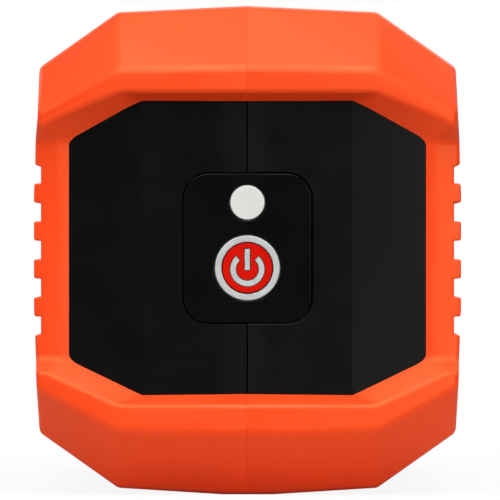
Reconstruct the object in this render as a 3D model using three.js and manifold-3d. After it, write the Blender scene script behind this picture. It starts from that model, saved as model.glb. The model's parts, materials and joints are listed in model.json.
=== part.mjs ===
// Jump starter pack with a rubber armour. Millimetres, +Z up.
// The control panel looks towards -Y, the jump socket and the charging ports towards +Y.
// Everything is drawn about the middle of the section, and the finished pack is lifted
// so that it lies on the flat of its lower bumpers, with the origin under its middle.
// A depth is counted inwards from the foremost line of an end.

import * as THREE from 'three';
import { ConvexGeometry } from 'three/addons/geometries/ConvexGeometry.js';
import { mergeVertices } from 'three/addons/utils/BufferGeometryUtils.js';
import Module from 'manifold-3d';

// ---------------------------------------------------------------- driving dimensions

const LENGTH = 206; // over the ridges of both bumpers
const FIT_GAP = 0.3; // between pieces that touch
const SEAM_GAP = 0.3; // between the two halves
const OVER = 1; // how far a cutter, or a piece that is joined on, runs past a face

// Armour outline: half sizes, and how far in its corners are from them
const HALF_WIDTH = 42.6; // over the ribs
const HALF_HEIGHT = 48.9; // to the peak, and to the flat that the pack lies on
const REST_FLAT = 5; // half width of that flat
const CORNER_IN = 16.7;
const CORNER_DROP = 1.3;
const SHOULDER_IN = 0.95;
const SHOULDER_DROP = 12.4;
const SIDE_IN = 0.35;
const SIDE_Z = 20.5;

// Bumpers
const RIDGE_RAKE = 0.036; // how fast an end falls back from its ridge
const SIDE_RAKE = 0.17; // and beyond its fold
const SLOPE_DEPTH = 12; // where the outer slope reaches the full outline
const BUMPER_DEPTH = 32;
const HEEL_LENGTH = 5;
const HEEL_STEP = 1; // of the heel's end over the case
const FACE_CORNER_DROP = 13; // of the face's upper corner below the peak
const FACE_SIDE_Z = 27.3;

// Recess in each end: a lip that slants in to the window where the case shows
const LIP_DROP = 17.5; // below the peak
const LOWER_LIP_RAISE = 0.5; // how much nearer the middle the lower lip is
const LOWER_WINDOW_RAISE = 0.8; // and the lower edge of the window
const LIP_FALL = 0.466; // of the lip for each millimetre beyond its corner
const WINDOW_DROP = 19.2;
const WINDOW_CORNER_IN = 5; // from the outline's corner
const WINDOW_SIDE_Z = 21.65;
const STRIP_W = 6.7;
const STRIP_OVERLAP = 1.4;
const STRIP_LIP_Z = 24.5;
const STRIP_PROUD = 0.6; // of the side strip over the case beside it
const RECESS_OVERRUN = 1.4; // of the recess past the ribs
const WALLS_OUT = -0.7; // where the walls' cutter starts, before the lip at 0
const WALLS_IN = 1.2; // and ends, past the window at 1

// Side grips
const GRIP_FOOT_Z = 24.5;
const GRIP_OVERLAP = 2.2; // of the grip into the case, where it is cut away
const NOTCH_COUNT = 5;
const NOTCH_PITCH = 7.56;
const NOTCH_DEPTH = 1.4;
const NOTCH_FLOOR = 3;
const NOTCH_MOUTH = 3.8;

// Case
const WALL = 2.5;
const CASE_INSET = 3.6; // of the case's ridge behind the bumper's
const ARMOUR_SIDE_T = 4.4; // of the armour over the case, at the ribs
const ARMOUR_TOP_T = 4.9; // and at the peak
const CASE_CHAMFER_W = 13.7; // of the case's four long corners
const CASE_CHAMFER_H = 10.5;
const CASE_END_COVER = 3.3; // of the window's edge over the case's end
const CASE_END_IN = 1.2;
const CASE_END_SIDE_Z = 24.5;
const CASE_SLOPE_DEPTH = 14;
const CORNER_SPREAD = 0.45; // how far a corner moves along its flat when the case grows by 1
const SLOPE_SPREAD = 0.6; // and the start of the straight part towards the end
const LOCATING_RIB = 1.6;
const LOCATING_RIB_HEIGHT = 2;

// Case screws, driven in from the right
const SCREW_FRONT_DEPTH = 45; // from each end to the nearest screws
const SCREW_REAR_DEPTH = 61;
const SCREW_BOSS_R = 3.2;
const SCREW_BOSS_ROOT = 0.5;
const SCREW_WELL_R = 3.3;
const SCREW_WELL_WALL = 1.3;
const SCREW_SEAT_X = 22.5;
const SCREW_HEAD_R = 2.8;
const SCREW_HEAD_H = 2;
const SCREW_SHANK_R = 1.4;
const SCREW_REACH = 14; // past the seam
const SCREW_FLOOR = 2;

// Control panel
const PANEL_W = 25.4;
const PANEL_H = 29.55;
const PANEL_R = 5;
const PANEL_Z = 0.4;
const PANEL_INSET = 0.3; // behind the case's ridge
const PANEL_FLANGE = 3.5;
const PANEL_FLANGE_T = 1.8;
const SEAT_DEPTH = 7;
const SEAT_MARGIN = 5;
const GASKET_T = 1.2;
const GASKET_MARGIN = 0.6;
const CLIP_T = 2.2;
const CLIP_HOLD = 1.5;
const CLIP_HEIGHT = 16;
const LAMP_Z = 9.04;
const LAMP_R = 3.44;
const LAMP_PIPE_R = 2.5;
const BUTTON_Z = -3.98;
const BUTTON_R = 4.95;
const BUTTON_GAP = 0.2;
const BUTTON_TRAVEL = 0.6;
const RING_R = 6.48;
const RING_FLANGE_R = 7.6;
const INSERT_FLANGE = 2.4; // from the panel's face to the flange of an insert
const INSERT_FLANGE_T = 1.2;
const RING_PROUD = 0.2;
const CAP_PROUD = 0.35;
const CAP_T = 1.65;
const CORE_FLANGE_R = 6.2;
const CORE_FLANGE_T = 0.8;
const STEM_R = 1.8;
const SEAL_T = 0.8;
const SYMBOL_OUTER_R = 3.4;
const SYMBOL_INNER_R = 2.3;
const SYMBOL_DROP = 0.25;
const SYMBOL_OPENING = 41; // degrees to each side of the bar
const BAR_W = 1;
const BAR_TOP = 3.8;
const BAR_BOTTOM = -0.4;
const SYMBOL_GAP = 0.15;

// Control board and switch
const BOARD_T = 1.6;
const BOARD_R = 2;
const CONTROL_BOARD_DEPTH = 16;
const CONTROL_BOARD_W = 29;
const CONTROL_BOARD_H = 34;
const POST_R = 2.4;
const POST_X = 11;
const POST_Z = 13.4;
const SWITCH_SIZE = 6;
const SWITCH_H = 3.3;
const PLUNGER_R = 1.7;
const PLUNGER_OUT = 0.8;
const PLUNGER_IN = 1.4;
const BOARD_SCREW_R = 0.9;
const BOARD_SCREW_HEAD_R = 1.8;
const BOARD_SCREW_HEAD_H = 1.2;
const BOARD_SCREW_REACH = 4;
const LED_SIZE = 3;
const LED_H = 1.2;

// Battery
const CELL_COUNT = 4;
const CELL_SIDE_ROOM = 2.8; // between the outer cells and the case
const CELL_R = 3;
const CELL_FRONT_DEPTH = 27;
const PAD_T = 0.8;
const PAD_MARGIN = 6;
const TAB_Z = 20;
const TAB_W = 12;
const TAB_T = 1;
const TAB_LENGTH = 6;
const FRAME_HOLD = 6;
const FRAME_LIP = 2;
const FRAME_LIP_H = 3;
const FRAME_R = 1;
const BAR_T = 1.5;
const BAR_WIDTH = 8;
const FUSE_H = 20;
const FUSE_BODY = 8;
const FUSE_BODY_T = 4.5;
const FUSE_BODY_PROUD = 1; // of its legs, on each side

// Flat cable from the control board to the main board
const CABLE_W = 8;
const CABLE_T = 1;
const CABLE_START_Z = 14;
const CABLE_RISE_DEPTH = 20;
const CABLE_CLEARANCE = 1; // over the cells
const CABLE_ROOM = 1.6; // under the screw bosses

// Rear panel and ports
const REAR_W = 64;
const REAR_H = 42;
const REAR_R = 5;
const REAR_T = 3;
const REAR_INSET = 3; // behind the case's ridge
const LEDGE_W = 7;
const LEDGE_T = 2.5;
const REAR_BLOCK_MARGIN = 3;
const REAR_SCREW_EDGE = 3.6;
const REAR_BOSS_R = 3;
const REAR_BOSS_DEPTH = 20;
const REAR_SCREW_R = 1.25;
const REAR_SCREW_HEAD_R = 2.3;
const REAR_SCREW_HEAD_H = 1.4;
const REAR_SCREW_LENGTH = 9;
const PILOT_GAP = 0.2;
const MAIN_BOARD_DEPTH = 24;
const SOCKET_X = -9.5;
const SOCKET_Z = -2;
const SOCKET_W = 26;
const SOCKET_H = 16;
const SOCKET_R = 2;
const SOCKET_WALL = 2;
const SOCKET_CAVITY = 12;
const SOCKET_CAVITY_R = 1;
const SOCKET_FLANGE = 2;
const SOCKET_FLANGE_T = 2;
const CONTACT_X = 5.5;
const CONTACT_R = 2.5;
const CONTACT_STANDS = 6;
const CONTACT_TAIL_R = 2;
const PORT_X = 15.8;
const USB_A = {
  z: 2.5, w: 13.2, h: 5.8, r: 0.5, innerR: 0.35, wall: 0.5, cavity: 10, tongueW: 9.4, tongueT: 1.6,
};
const USB_C = {
  z: -7.5, w: 9.2, h: 3.6, r: 1.7, innerR: 1.2, wall: 0.5, cavity: 6.5, tongueW: 6.4, tongueT: 0.7,
};
const TONGUE_SHORT = 1.2;

// Hinged covers
const COVER_T = 2.9;
const COVER_R = 1.5;
const COVER_LIFT = 0.3; // over the rear panel
const COVER_BOTTOM_Z = -13.5;
const SOCKET_COVER_W = 27;
const PORT_COVER_W = 20;
const HINGE_Z = 12.8;
const HINGE_DEPTH = 4.4;
const KNUCKLE_R = 1.9;
const EAR_R = 2.2;
const EAR_W = 2.4;
const PIN_R = 0.9;
const PIN_CLEARANCE = 0.1;
const PIN_SHORT = 0.5;
const COVER_DROP = 2.6; // from the hinge axis to the cover's plate
const TAB_LIP = 1.5;
const TAB_LIP_T = 1.4;
const TAB_LIP_SHARE = 0.5; // of the cover's width

// Parts on the main board: inset is from its right side, rise from its lower edge,
// beside is from the capacitor
const PARTS_CLEARANCE = 1.3; // to the links behind the cells
const INDUCTOR = { inset: 14.4, rise: 23.2, size: 13, r: 3, h: 6 };
const CAPACITOR = { inset: 31.4, rise: 17.2, r: 5, h: 8 };
const TRANSISTOR = { beside: 18, rise: 17.2, pitch: 12, w: 9, d: 10, h: 3 };
const SPREADER = { w: 24, d: 12, t: 2 };

// Facets of round pieces
const FINE = 40;
const ROUND = 18;
const COARSE = 10;
const ARC = 4; // steps of a rounded corner
const COARSE_ARC = 2;

// ---------------------------------------------------------------- helpers

const library = await Module();
library.setup();

const SIGNS = [-1, 1];
const HALF_LENGTH = LENGTH / 2;
const FRONT = -1;
const REAR = 1;

const cornerX = HALF_WIDTH - CORNER_IN;
const cornerZ = HALF_HEIGHT - CORNER_DROP;
const shoulderX = HALF_WIDTH - SHOULDER_IN;
const shoulderZ = HALF_HEIGHT - SHOULDER_DROP;
const sideX = HALF_WIDTH - SIDE_IN;
const lipZ = HALF_HEIGHT - LIP_DROP;
const windowZ = HALF_HEIGHT - WINDOW_DROP;
const windowCornerX = cornerX - WINDOW_CORNER_IN;
const windowSideX = HALF_WIDTH - STRIP_W;
const caseHalfW = HALF_WIDTH - ARMOUR_SIDE_T;
const caseHalfH = HALF_HEIGHT - ARMOUR_TOP_T;
const caseCornerX = caseHalfW - CASE_CHAMFER_W;
const caseShoulderZ = caseHalfH - CASE_CHAMFER_H;

function endY(end, depth) {
  return end * (HALF_LENGTH - depth);
}

function frontY(depth) {
  return endY(FRONT, depth);
}

function rearY(depth) {
  return endY(REAR, depth);
}

function toSolid(geometry) {
  const bare = new THREE.BufferGeometry();
  bare.setAttribute('position', geometry.getAttribute('position'));
  bare.setIndex(geometry.getIndex());
  const merged = mergeVertices(bare, 1e-4);
  return new library.Manifold(new library.Mesh({
    numProp: 3,
    vertProperties: Float32Array.from(merged.getAttribute('position').array),
    triVerts: Uint32Array.from(merged.getIndex().array),
  }));
}

function toGeometry(solid) {
  const mesh = solid.getMesh();
  const geometry = new THREE.BufferGeometry();
  geometry.setAttribute('position', new THREE.BufferAttribute(mesh.vertProperties, 3));
  geometry.setIndex(new THREE.BufferAttribute(mesh.triVerts, 1));
  geometry.computeVertexNormals();
  return geometry;
}

function fuse(first, ...others) {
  return others.reduce((sum, other) => sum.add(other), first);
}

function cut(first, ...others) {
  return others.reduce((rest, other) => rest.subtract(other), first);
}

// Convex body round a list of [x, y, z]
function hull(points) {
  return toSolid(new ConvexGeometry(points.map(([x, y, z]) => new THREE.Vector3(x, y, z))));
}

function block(x0, x1, y0, y1, z0, z1) {
  const geometry = new THREE.BoxGeometry(Math.abs(x1 - x0), Math.abs(y1 - y0), Math.abs(z1 - z0));
  geometry.translate((x0 + x1) / 2, (y0 + y1) / 2, (z0 + z1) / 2);
  return toSolid(geometry);
}

// Round bar along Y
function rod(radius, y0, y1, x, z, sides) {
  const geometry = new THREE.CylinderGeometry(radius, radius, Math.abs(y1 - y0), sides);
  geometry.translate(x, (y0 + y1) / 2, z);
  return toSolid(geometry);
}

// Round bar along X
function crossRod(radius, x0, x1, y, z, sides) {
  const geometry = new THREE.CylinderGeometry(radius, radius, Math.abs(x1 - x0), sides);
  geometry.rotateZ(-Math.PI / 2);
  geometry.translate((x0 + x1) / 2, y, z);
  return toSolid(geometry);
}

// Plate with its outline in X and Z, from one Y to another
function slab(shape, y0, y1, curveSegments = ARC) {
  const geometry = new THREE.ExtrudeGeometry(shape, {
    depth: Math.abs(y1 - y0),
    bevelEnabled: false,
    curveSegments,
  });
  geometry.applyMatrix4(new THREE.Matrix4().makeBasis(
    new THREE.Vector3(1, 0, 0), new THREE.Vector3(0, 0, 1), new THREE.Vector3(0, -1, 0)));
  geometry.translate(0, Math.max(y0, y1), 0);
  return toSolid(geometry);
}

// Bar with its outline in Y and Z, from one X to another
function crossSlab(shape, x0, x1) {
  const geometry = new THREE.ExtrudeGeometry(shape, { depth: x1 - x0, bevelEnabled: false });
  geometry.applyMatrix4(new THREE.Matrix4().makeBasis(
    new THREE.Vector3(0, 1, 0), new THREE.Vector3(0, 0, 1), new THREE.Vector3(1, 0, 0)));
  geometry.translate(x0, 0, 0);
  return toSolid(geometry);
}

function outlineShape(points) {
  return new THREE.Shape(points.map(([x, y]) => new THREE.Vector2(x, y)));
}

function roundedRect(width, height, radius, x = 0, z = 0) {
  const shape = new THREE.Shape();
  const right = x + width / 2 - radius;
  const left = x - width / 2 + radius;
  const top = z + height / 2 - radius;
  const bottom = z - height / 2 + radius;
  shape.absarc(right, top, radius, 0, Math.PI / 2);
  shape.absarc(left, top, radius, Math.PI / 2, Math.PI);
  shape.absarc(left, bottom, radius, Math.PI, Math.PI * 1.5);
  shape.absarc(right, bottom, radius, Math.PI * 1.5, Math.PI * 2);
  return shape;
}

// The four quadrants of a list of [x, z, depth], as points at one end
function quadrants(quarter, end) {
  return quarter.flatMap(([x, z, depth]) => SIGNS.flatMap(
    (sx) => SIGNS.map((sz) => [sx * x, endY(end, depth), sz * z])));
}

// Where a line through two points is, at a share of the way; below 0 or above 1 is past them
function along(from, to, share) {
  return from.map((value, i) => value + (to[i] - value) * share);
}

// How far an end has fallen back at x
function rake(x, fold) {
  return RIDGE_RAKE * Math.min(x, fold) + SIDE_RAKE * Math.max(0, x - fold);
}

function bumperDepth(x) {
  return rake(x, cornerX);
}

function caseDepth(x) {
  return CASE_INSET + rake(x, windowCornerX);
}

function halfSpace(side) {
  const far = LENGTH;
  return block(side * SEAM_GAP / 2, side * far, -far, far, -far, far);
}

// ---------------------------------------------------------------- armour

// The straight side of the outline, from the grip's edge to the middle of the outer ribs
const SIDE_LINE = [[sideX, SIDE_Z], [HALF_WIDTH, (NOTCH_COUNT - 2) / 2 * NOTCH_PITCH]];

// Where the slope from a point of the outline reaches the bumper's face
function slopeFoot(x, z) {
  const fall = (FACE_CORNER_DROP - CORNER_DROP) / (SLOPE_DEPTH - bumperDepth(cornerX));
  return [x, z - fall * (SLOPE_DEPTH - bumperDepth(x)), bumperDepth(x)];
}

function bumperForm(end) {
  const heelDepth = BUMPER_DEPTH + HEEL_LENGTH;
  const heelZ = caseHalfH + HEEL_STEP;
  const outline = [[cornerX, cornerZ], [shoulderX, shoulderZ], ...SIDE_LINE];
  const sideShare = (shoulderZ - FACE_SIDE_Z) / (shoulderZ - SIDE_Z);
  const faceSide = along([shoulderX, shoulderZ], SIDE_LINE[0], sideShare);
  const face = [faceSide, ...SIDE_LINE].map(([x, z]) => [x, z, bumperDepth(x)]);
  const heel = [[caseCornerX, heelZ], [caseHalfW + HEEL_STEP, caseShoulderZ], ...SIDE_LINE];
  const points = quadrants([
    slopeFoot(0, HALF_HEIGHT),
    slopeFoot(cornerX, cornerZ),
    ...face,
    ...outline.map(([x, z]) => [x, z, SLOPE_DEPTH]),
    ...outline.map(([x, z]) => [x, z, BUMPER_DEPTH]),
    ...heel.map(([x, z]) => [x, z, heelDepth]),
  ], end);
  const restFoot = slopeFoot(REST_FLAT, HALF_HEIGHT);
  for (const depth of [SLOPE_DEPTH, BUMPER_DEPTH]) {
    points.push([0, endY(end, depth), HALF_HEIGHT]);
    points.push(...SIGNS.map((side) => [side * REST_FLAT, endY(end, depth), -HALF_HEIGHT]));
  }
  points.push(...SIGNS.map((side) => [side * REST_FLAT, endY(end, restFoot[2]), -restFoot[1]]));
  return hull(points);
}

function gripForm() {
  const reach = HALF_LENGTH - BUMPER_DEPTH;
  const foot = [[caseHalfW - GRIP_OVERLAP, GRIP_FOOT_Z], [caseHalfW + HEEL_STEP, GRIP_FOOT_Z]];
  const section = [...foot, ...SIDE_LINE];
  const grips = SIGNS.map((side) => hull(section.flatMap(([x, z]) => SIGNS.flatMap(
    (sz) => SIGNS.map((sy) => [side * x, sy * reach, sz * z])))));
  return fuse(...grips);
}

// The hollow of an end, with walls that slant from the lip to the window
function endRecess(end) {
  const lipReach = HALF_WIDTH + RECESS_OVERRUN;
  const wallPoints = (upOrDown, lipRow, windowRow) => {
    const lip = [[0, lipRow], [cornerX, lipRow], [lipReach, lipRow - LIP_FALL * (lipReach - cornerX)]];
    const window = [[0, windowRow], [windowCornerX, windowRow], [windowSideX, WINDOW_SIDE_Z]];
    return lip.flatMap(([x, z], i) => {
      const from = [x, z, bumperDepth(x)];
      const to = [window[i][0], window[i][1], caseDepth(window[i][0])];
      return [along(from, to, WALLS_OUT), along(from, to, WALLS_IN)];
    }).flatMap(([x, z, depth]) => SIGNS.map((side) => [side * x, endY(end, depth), upOrDown * z]));
  };
  const walls = hull([
    ...wallPoints(1, lipZ, windowZ),
    ...wallPoints(-1, lipZ - LOWER_LIP_RAISE, windowZ - LOWER_WINDOW_RAISE),
  ]);
  const strips = SIGNS.map((side) => hull([windowSideX - STRIP_OVERLAP, HALF_WIDTH + WALL].flatMap((x) => {
    const floor = [x, WINDOW_SIDE_Z, caseDepth(x) - STRIP_PROUD];
    const mouth = along([x, STRIP_LIP_Z, bumperDepth(x)], floor, WALLS_OUT);
    return [floor, mouth].flatMap(([px, pz, depth]) => SIGNS.map(
      (sz) => [side * px, endY(end, depth), sz * pz]));
  })));
  return fuse(walls, ...strips);
}

function notches() {
  const floorX = HALF_WIDTH - NOTCH_DEPTH;
  const mouthX = HALF_WIDTH + WALL;
  const flare = (NOTCH_MOUTH - NOTCH_FLOOR) / 2 * (mouthX - floorX) / NOTCH_DEPTH;
  const bodies = [];
  for (const side of SIGNS) {
    for (let i = 0; i < NOTCH_COUNT; i += 1) {
      const z = (i - (NOTCH_COUNT - 1) / 2) * NOTCH_PITCH;
      const outline = [
        [side * floorX, z - NOTCH_FLOOR / 2],
        [side * mouthX, z - NOTCH_FLOOR / 2 - flare],
        [side * mouthX, z + NOTCH_FLOOR / 2 + flare],
        [side * floorX, z + NOTCH_FLOOR / 2],
      ];
      bodies.push(slab(outlineShape(outline), -LENGTH, LENGTH));
    }
  }
  return fuse(...bodies);
}

function armourBody() {
  const outer = fuse(bumperForm(FRONT), bumperForm(REAR), gripForm());
  return cut(outer, caseForm(FIT_GAP), endRecess(FRONT), endRecess(REAR), notches());
}

// ---------------------------------------------------------------- case

// Eight-sided section of the case, as one quarter
function caseQuarter(grow) {
  return [
    [caseCornerX + grow * CORNER_SPREAD, caseHalfH + grow],
    [caseHalfW + grow, caseShoulderZ + grow * CORNER_SPREAD],
  ];
}

function caseForm(grow) {
  const endTop = windowZ + CASE_END_COVER + grow;
  const endSide = caseHalfW - CASE_END_IN + grow;
  const end = [[0, endTop], [windowCornerX, endTop], [endSide, CASE_END_SIDE_Z]]
    .map(([x, z]) => [x, z, caseDepth(x) - grow]);
  const section = caseQuarter(grow).map(([x, z]) => [x, z, CASE_SLOPE_DEPTH - grow * SLOPE_SPREAD]);
  return hull([FRONT, REAR].flatMap((side) => quadrants([...end, ...section], side)));
}

function octagon(grow) {
  const [[flatX, flatZ], [sideEdgeX, sideEdgeZ]] = caseQuarter(grow);
  return outlineShape([
    [sideEdgeX, -sideEdgeZ], [sideEdgeX, sideEdgeZ], [flatX, flatZ], [-flatX, flatZ],
    [-sideEdgeX, sideEdgeZ], [-sideEdgeX, -sideEdgeZ], [-flatX, -flatZ], [flatX, -flatZ],
  ]);
}

// Rib round the inside of the case, which stops a frame or a board from sliding
function locatingRib(y0, y1) {
  return cut(slab(octagon(FIT_GAP - WALL), y0, y1),
    slab(octagon(-WALL - LOCATING_RIB_HEIGHT), y0 - OVER, y1 + OVER));
}

const panelFace = CASE_INSET + PANEL_INSET;
const gasketFront = SEAT_DEPTH + FIT_GAP;
const gasketBack = gasketFront + GASKET_T;
const flangeFront = gasketBack + FIT_GAP;
const panelBack = flangeFront + PANEL_FLANGE_T;

const rearFace = CASE_INSET + REAR_INSET;
const rearBack = rearFace + REAR_T;
const ledgeFront = rearBack + FIT_GAP;
const ledgeBack = ledgeFront + LEDGE_T;
const mainBoardFront = rearY(MAIN_BOARD_DEPTH + BOARD_T);
const mainBoardRear = rearY(MAIN_BOARD_DEPTH);
const partsBack = mainBoardFront - FIT_GAP;
const partsFront = partsBack - Math.max(INDUCTOR.h, CAPACITOR.h);

const bossZ = caseHalfH - WALL - SCREW_BOSS_R + SCREW_BOSS_ROOT;
const screwPlaces = SIGNS.flatMap((sz) => [0, 0.5, 1].map((share) => ({
  y: frontY(SCREW_FRONT_DEPTH) + share * (rearY(SCREW_REAR_DEPTH) - frontY(SCREW_FRONT_DEPTH)),
  z: sz * bossZ,
})));

// The flat cable passes over the cells and under the screw bosses
const cableTop = bossZ - SCREW_BOSS_R - CABLE_ROOM;
const cellHalfH = cableTop - CABLE_T - CABLE_CLEARANCE;
const cellFrontY = frontY(CELL_FRONT_DEPTH);
const plateRear = partsFront - PARTS_CLEARANCE;
const plateFront = plateRear - BAR_T;
const cellRearY = plateFront - FIT_GAP - TAB_LENGTH;
const stackHalfW = caseHalfW - WALL - CELL_SIDE_ROOM;
const cellSpacing = PAD_T + 2 * FIT_GAP;
const cellT = (2 * stackHalfW - (CELL_COUNT - 1) * cellSpacing) / CELL_COUNT;
const cellPitch = cellT + cellSpacing;
const frameFrontY = cellFrontY - FIT_GAP - FRAME_LIP;
const frameRearY = cellRearY + FIT_GAP + FRAME_LIP;

const rearScrewPlaces = SIGNS.flatMap((sx) => SIGNS.map((sz) => ({
  x: sx * (REAR_W / 2 - REAR_SCREW_EDGE),
  z: sz * (REAR_H / 2 - REAR_SCREW_EDGE),
})));

// Seat for the control panel, with a hooked clip beside each long edge
function panelSeat() {
  const seat = slab(
    roundedRect(PANEL_W + 2 * SEAT_MARGIN, PANEL_H + 2 * SEAT_MARGIN, PANEL_R, 0, PANEL_Z),
    frontY(CASE_INSET), frontY(SEAT_DEPTH));
  const edge = PANEL_W / 2 + PANEL_FLANGE;
  const hook = panelBack + FIT_GAP;
  const clips = SIGNS.map((side) => fuse(
    block(side * (edge + FIT_GAP), side * (edge + FIT_GAP + CLIP_T),
      frontY(SEAT_DEPTH - OVER), frontY(hook + CLIP_T), PANEL_Z - CLIP_HEIGHT / 2, PANEL_Z + CLIP_HEIGHT / 2),
    block(side * (edge - CLIP_HOLD), side * (edge + FIT_GAP + CLIP_T),
      frontY(hook), frontY(hook + CLIP_T), PANEL_Z - CLIP_HEIGHT / 2, PANEL_Z + CLIP_HEIGHT / 2)));
  return fuse(seat, ...clips);
}

// Thick frame round the rear opening, with a boss behind each corner
function rearSeat() {
  const margin = 2 * REAR_BLOCK_MARGIN;
  const frame = slab(
    roundedRect(REAR_W + margin, REAR_H + margin, REAR_R), rearY(CASE_INSET), rearY(ledgeBack));
  const bosses = rearScrewPlaces.map(({ x, z }) => rod(
    REAR_BOSS_R, rearY(ledgeFront), rearY(REAR_BOSS_DEPTH), x, z, COARSE));
  return fuse(frame, ...bosses);
}

function rearOpening() {
  const gap = 2 * FIT_GAP;
  const outside = rearY(-OVER);
  return fuse(
    slab(roundedRect(REAR_W + gap, REAR_H + gap, REAR_R + FIT_GAP), outside, rearY(ledgeFront)),
    slab(roundedRect(REAR_W - 2 * LEDGE_W, REAR_H - 2 * LEDGE_W, REAR_R), outside, rearY(ledgeBack + OVER)),
    ...rearScrewPlaces.map(({ x, z }) => rod(
      REAR_SCREW_R + PILOT_GAP, outside, rearY(REAR_BOSS_DEPTH - SCREW_FLOOR), x, z, COARSE)));
}

function caseInnerParts() {
  const ribs = [
    locatingRib(frameFrontY - FIT_GAP - LOCATING_RIB, frameFrontY - FIT_GAP),
    locatingRib(frameRearY + FIT_GAP, frameRearY + FIT_GAP + LOCATING_RIB),
    locatingRib(mainBoardFront - FIT_GAP - LOCATING_RIB, mainBoardFront - FIT_GAP),
    locatingRib(mainBoardRear + FIT_GAP, mainBoardRear + FIT_GAP + LOCATING_RIB),
  ];
  const bosses = screwPlaces.flatMap(({ y, z }) => [
    crossRod(SCREW_BOSS_R, -SCREW_REACH - SCREW_FLOOR, SCREW_SEAT_X, y, z, COARSE),
    crossRod(SCREW_WELL_R + SCREW_WELL_WALL, SCREW_SEAT_X - SCREW_FLOOR, caseHalfW, y, z, COARSE),
  ]);
  return fuse(panelSeat(), rearSeat(), ...ribs, ...bosses);
}

function caseHoles() {
  const gap = 2 * FIT_GAP;
  const panelHole = slab(
    roundedRect(PANEL_W + gap, PANEL_H + gap, PANEL_R + FIT_GAP, 0, PANEL_Z),
    frontY(-OVER), frontY(SEAT_DEPTH + OVER));
  const screwHoles = screwPlaces.flatMap(({ y, z }) => [
    crossRod(SCREW_SHANK_R + PILOT_GAP, -SCREW_REACH - FIT_GAP, SCREW_SEAT_X + OVER, y, z, COARSE),
    crossRod(SCREW_WELL_R, SCREW_SEAT_X, caseHalfW + WALL, y, z, ROUND),
  ]);
  return fuse(panelHole, rearOpening(), ...screwHoles);
}

function caseBody() {
  const shell = cut(caseForm(0), caseForm(-WALL));
  const inner = caseInnerParts().intersect(caseForm(0));
  return cut(fuse(shell, inner), caseHoles());
}

// ---------------------------------------------------------------- control panel

const ringFlangeFront = panelFace + INSERT_FLANGE;
const ringFlangeBack = ringFlangeFront + INSERT_FLANGE_T;
const capFront = panelFace - CAP_PROUD;
const capBack = capFront + CAP_T;
const coreFront = capBack + FIT_GAP;
const coreFlangeFront = ringFlangeBack + FIT_GAP;
const coreFlangeBack = coreFlangeFront + CORE_FLANGE_T;
const sealFront = coreFlangeBack + BUTTON_TRAVEL + FIT_GAP;
const switchBack = CONTROL_BOARD_DEPTH - FIT_GAP;
const switchFront = switchBack - SWITCH_H;
const plungerFront = switchFront - PLUNGER_OUT;
const buttonZ = PANEL_Z + BUTTON_Z;
const lampZ = PANEL_Z + LAMP_Z;
const boardScrewPlaces = SIGNS.map((side) => ({ x: side * POST_X, z: PANEL_Z - side * POST_Z }));

function controlPanel() {
  const face = slab(roundedRect(PANEL_W, PANEL_H, PANEL_R, 0, PANEL_Z), frontY(panelFace), frontY(panelBack));
  const flange = slab(
    roundedRect(PANEL_W + 2 * PANEL_FLANGE, PANEL_H + 2 * PANEL_FLANGE, PANEL_R + PANEL_FLANGE, 0, PANEL_Z),
    frontY(flangeFront), frontY(panelBack));
  const posts = boardScrewPlaces.map(({ x, z }) => rod(
    POST_R, frontY(flangeFront), frontY(CONTROL_BOARD_DEPTH - FIT_GAP), x, z, COARSE));
  const insertHole = (radius, flangeRadius, z) => fuse(
    rod(radius + BUTTON_GAP, frontY(0), frontY(panelBack + OVER), 0, z, FINE),
    rod(flangeRadius + FIT_GAP, frontY(ringFlangeFront - FIT_GAP), frontY(panelBack + OVER), 0, z, ROUND));
  const pilots = boardScrewPlaces.map(({ x, z }) => rod(
    BOARD_SCREW_R + PILOT_GAP, frontY(flangeFront), frontY(CONTROL_BOARD_DEPTH), x, z, COARSE));
  return cut(fuse(face, flange, ...posts),
    insertHole(RING_R, RING_FLANGE_R, buttonZ),
    insertHole(LAMP_R, LAMP_R + INSERT_FLANGE_T, lampZ),
    ...pilots);
}

function panelGasket() {
  const gap = FIT_GAP + GASKET_MARGIN;
  const outer = roundedRect(
    PANEL_W + 2 * PANEL_FLANGE, PANEL_H + 2 * PANEL_FLANGE, PANEL_R + PANEL_FLANGE, 0, PANEL_Z);
  outer.holes.push(roundedRect(PANEL_W + 2 * gap, PANEL_H + 2 * gap, PANEL_R + gap, 0, PANEL_Z));
  return slab(outer, frontY(gasketFront), frontY(gasketBack));
}

function lampLens() {
  const pipeBack = CONTROL_BOARD_DEPTH - LED_H - 2 * FIT_GAP;
  return fuse(
    rod(LAMP_R, frontY(panelFace), frontY(ringFlangeBack), 0, lampZ, FINE),
    rod(LAMP_R + INSERT_FLANGE_T, frontY(ringFlangeFront), frontY(ringFlangeBack), 0, lampZ, ROUND),
    rod(LAMP_PIPE_R, frontY(ringFlangeFront), frontY(pipeBack), 0, lampZ, ROUND));
}

function lightRing() {
  return cut(
    fuse(
      rod(RING_R, frontY(panelFace - RING_PROUD), frontY(ringFlangeBack), 0, buttonZ, FINE),
      rod(RING_FLANGE_R, frontY(ringFlangeFront), frontY(ringFlangeBack), 0, buttonZ, ROUND)),
    rod(BUTTON_R + BUTTON_GAP, frontY(0), frontY(ringFlangeBack + OVER), 0, buttonZ, FINE));
}

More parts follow.
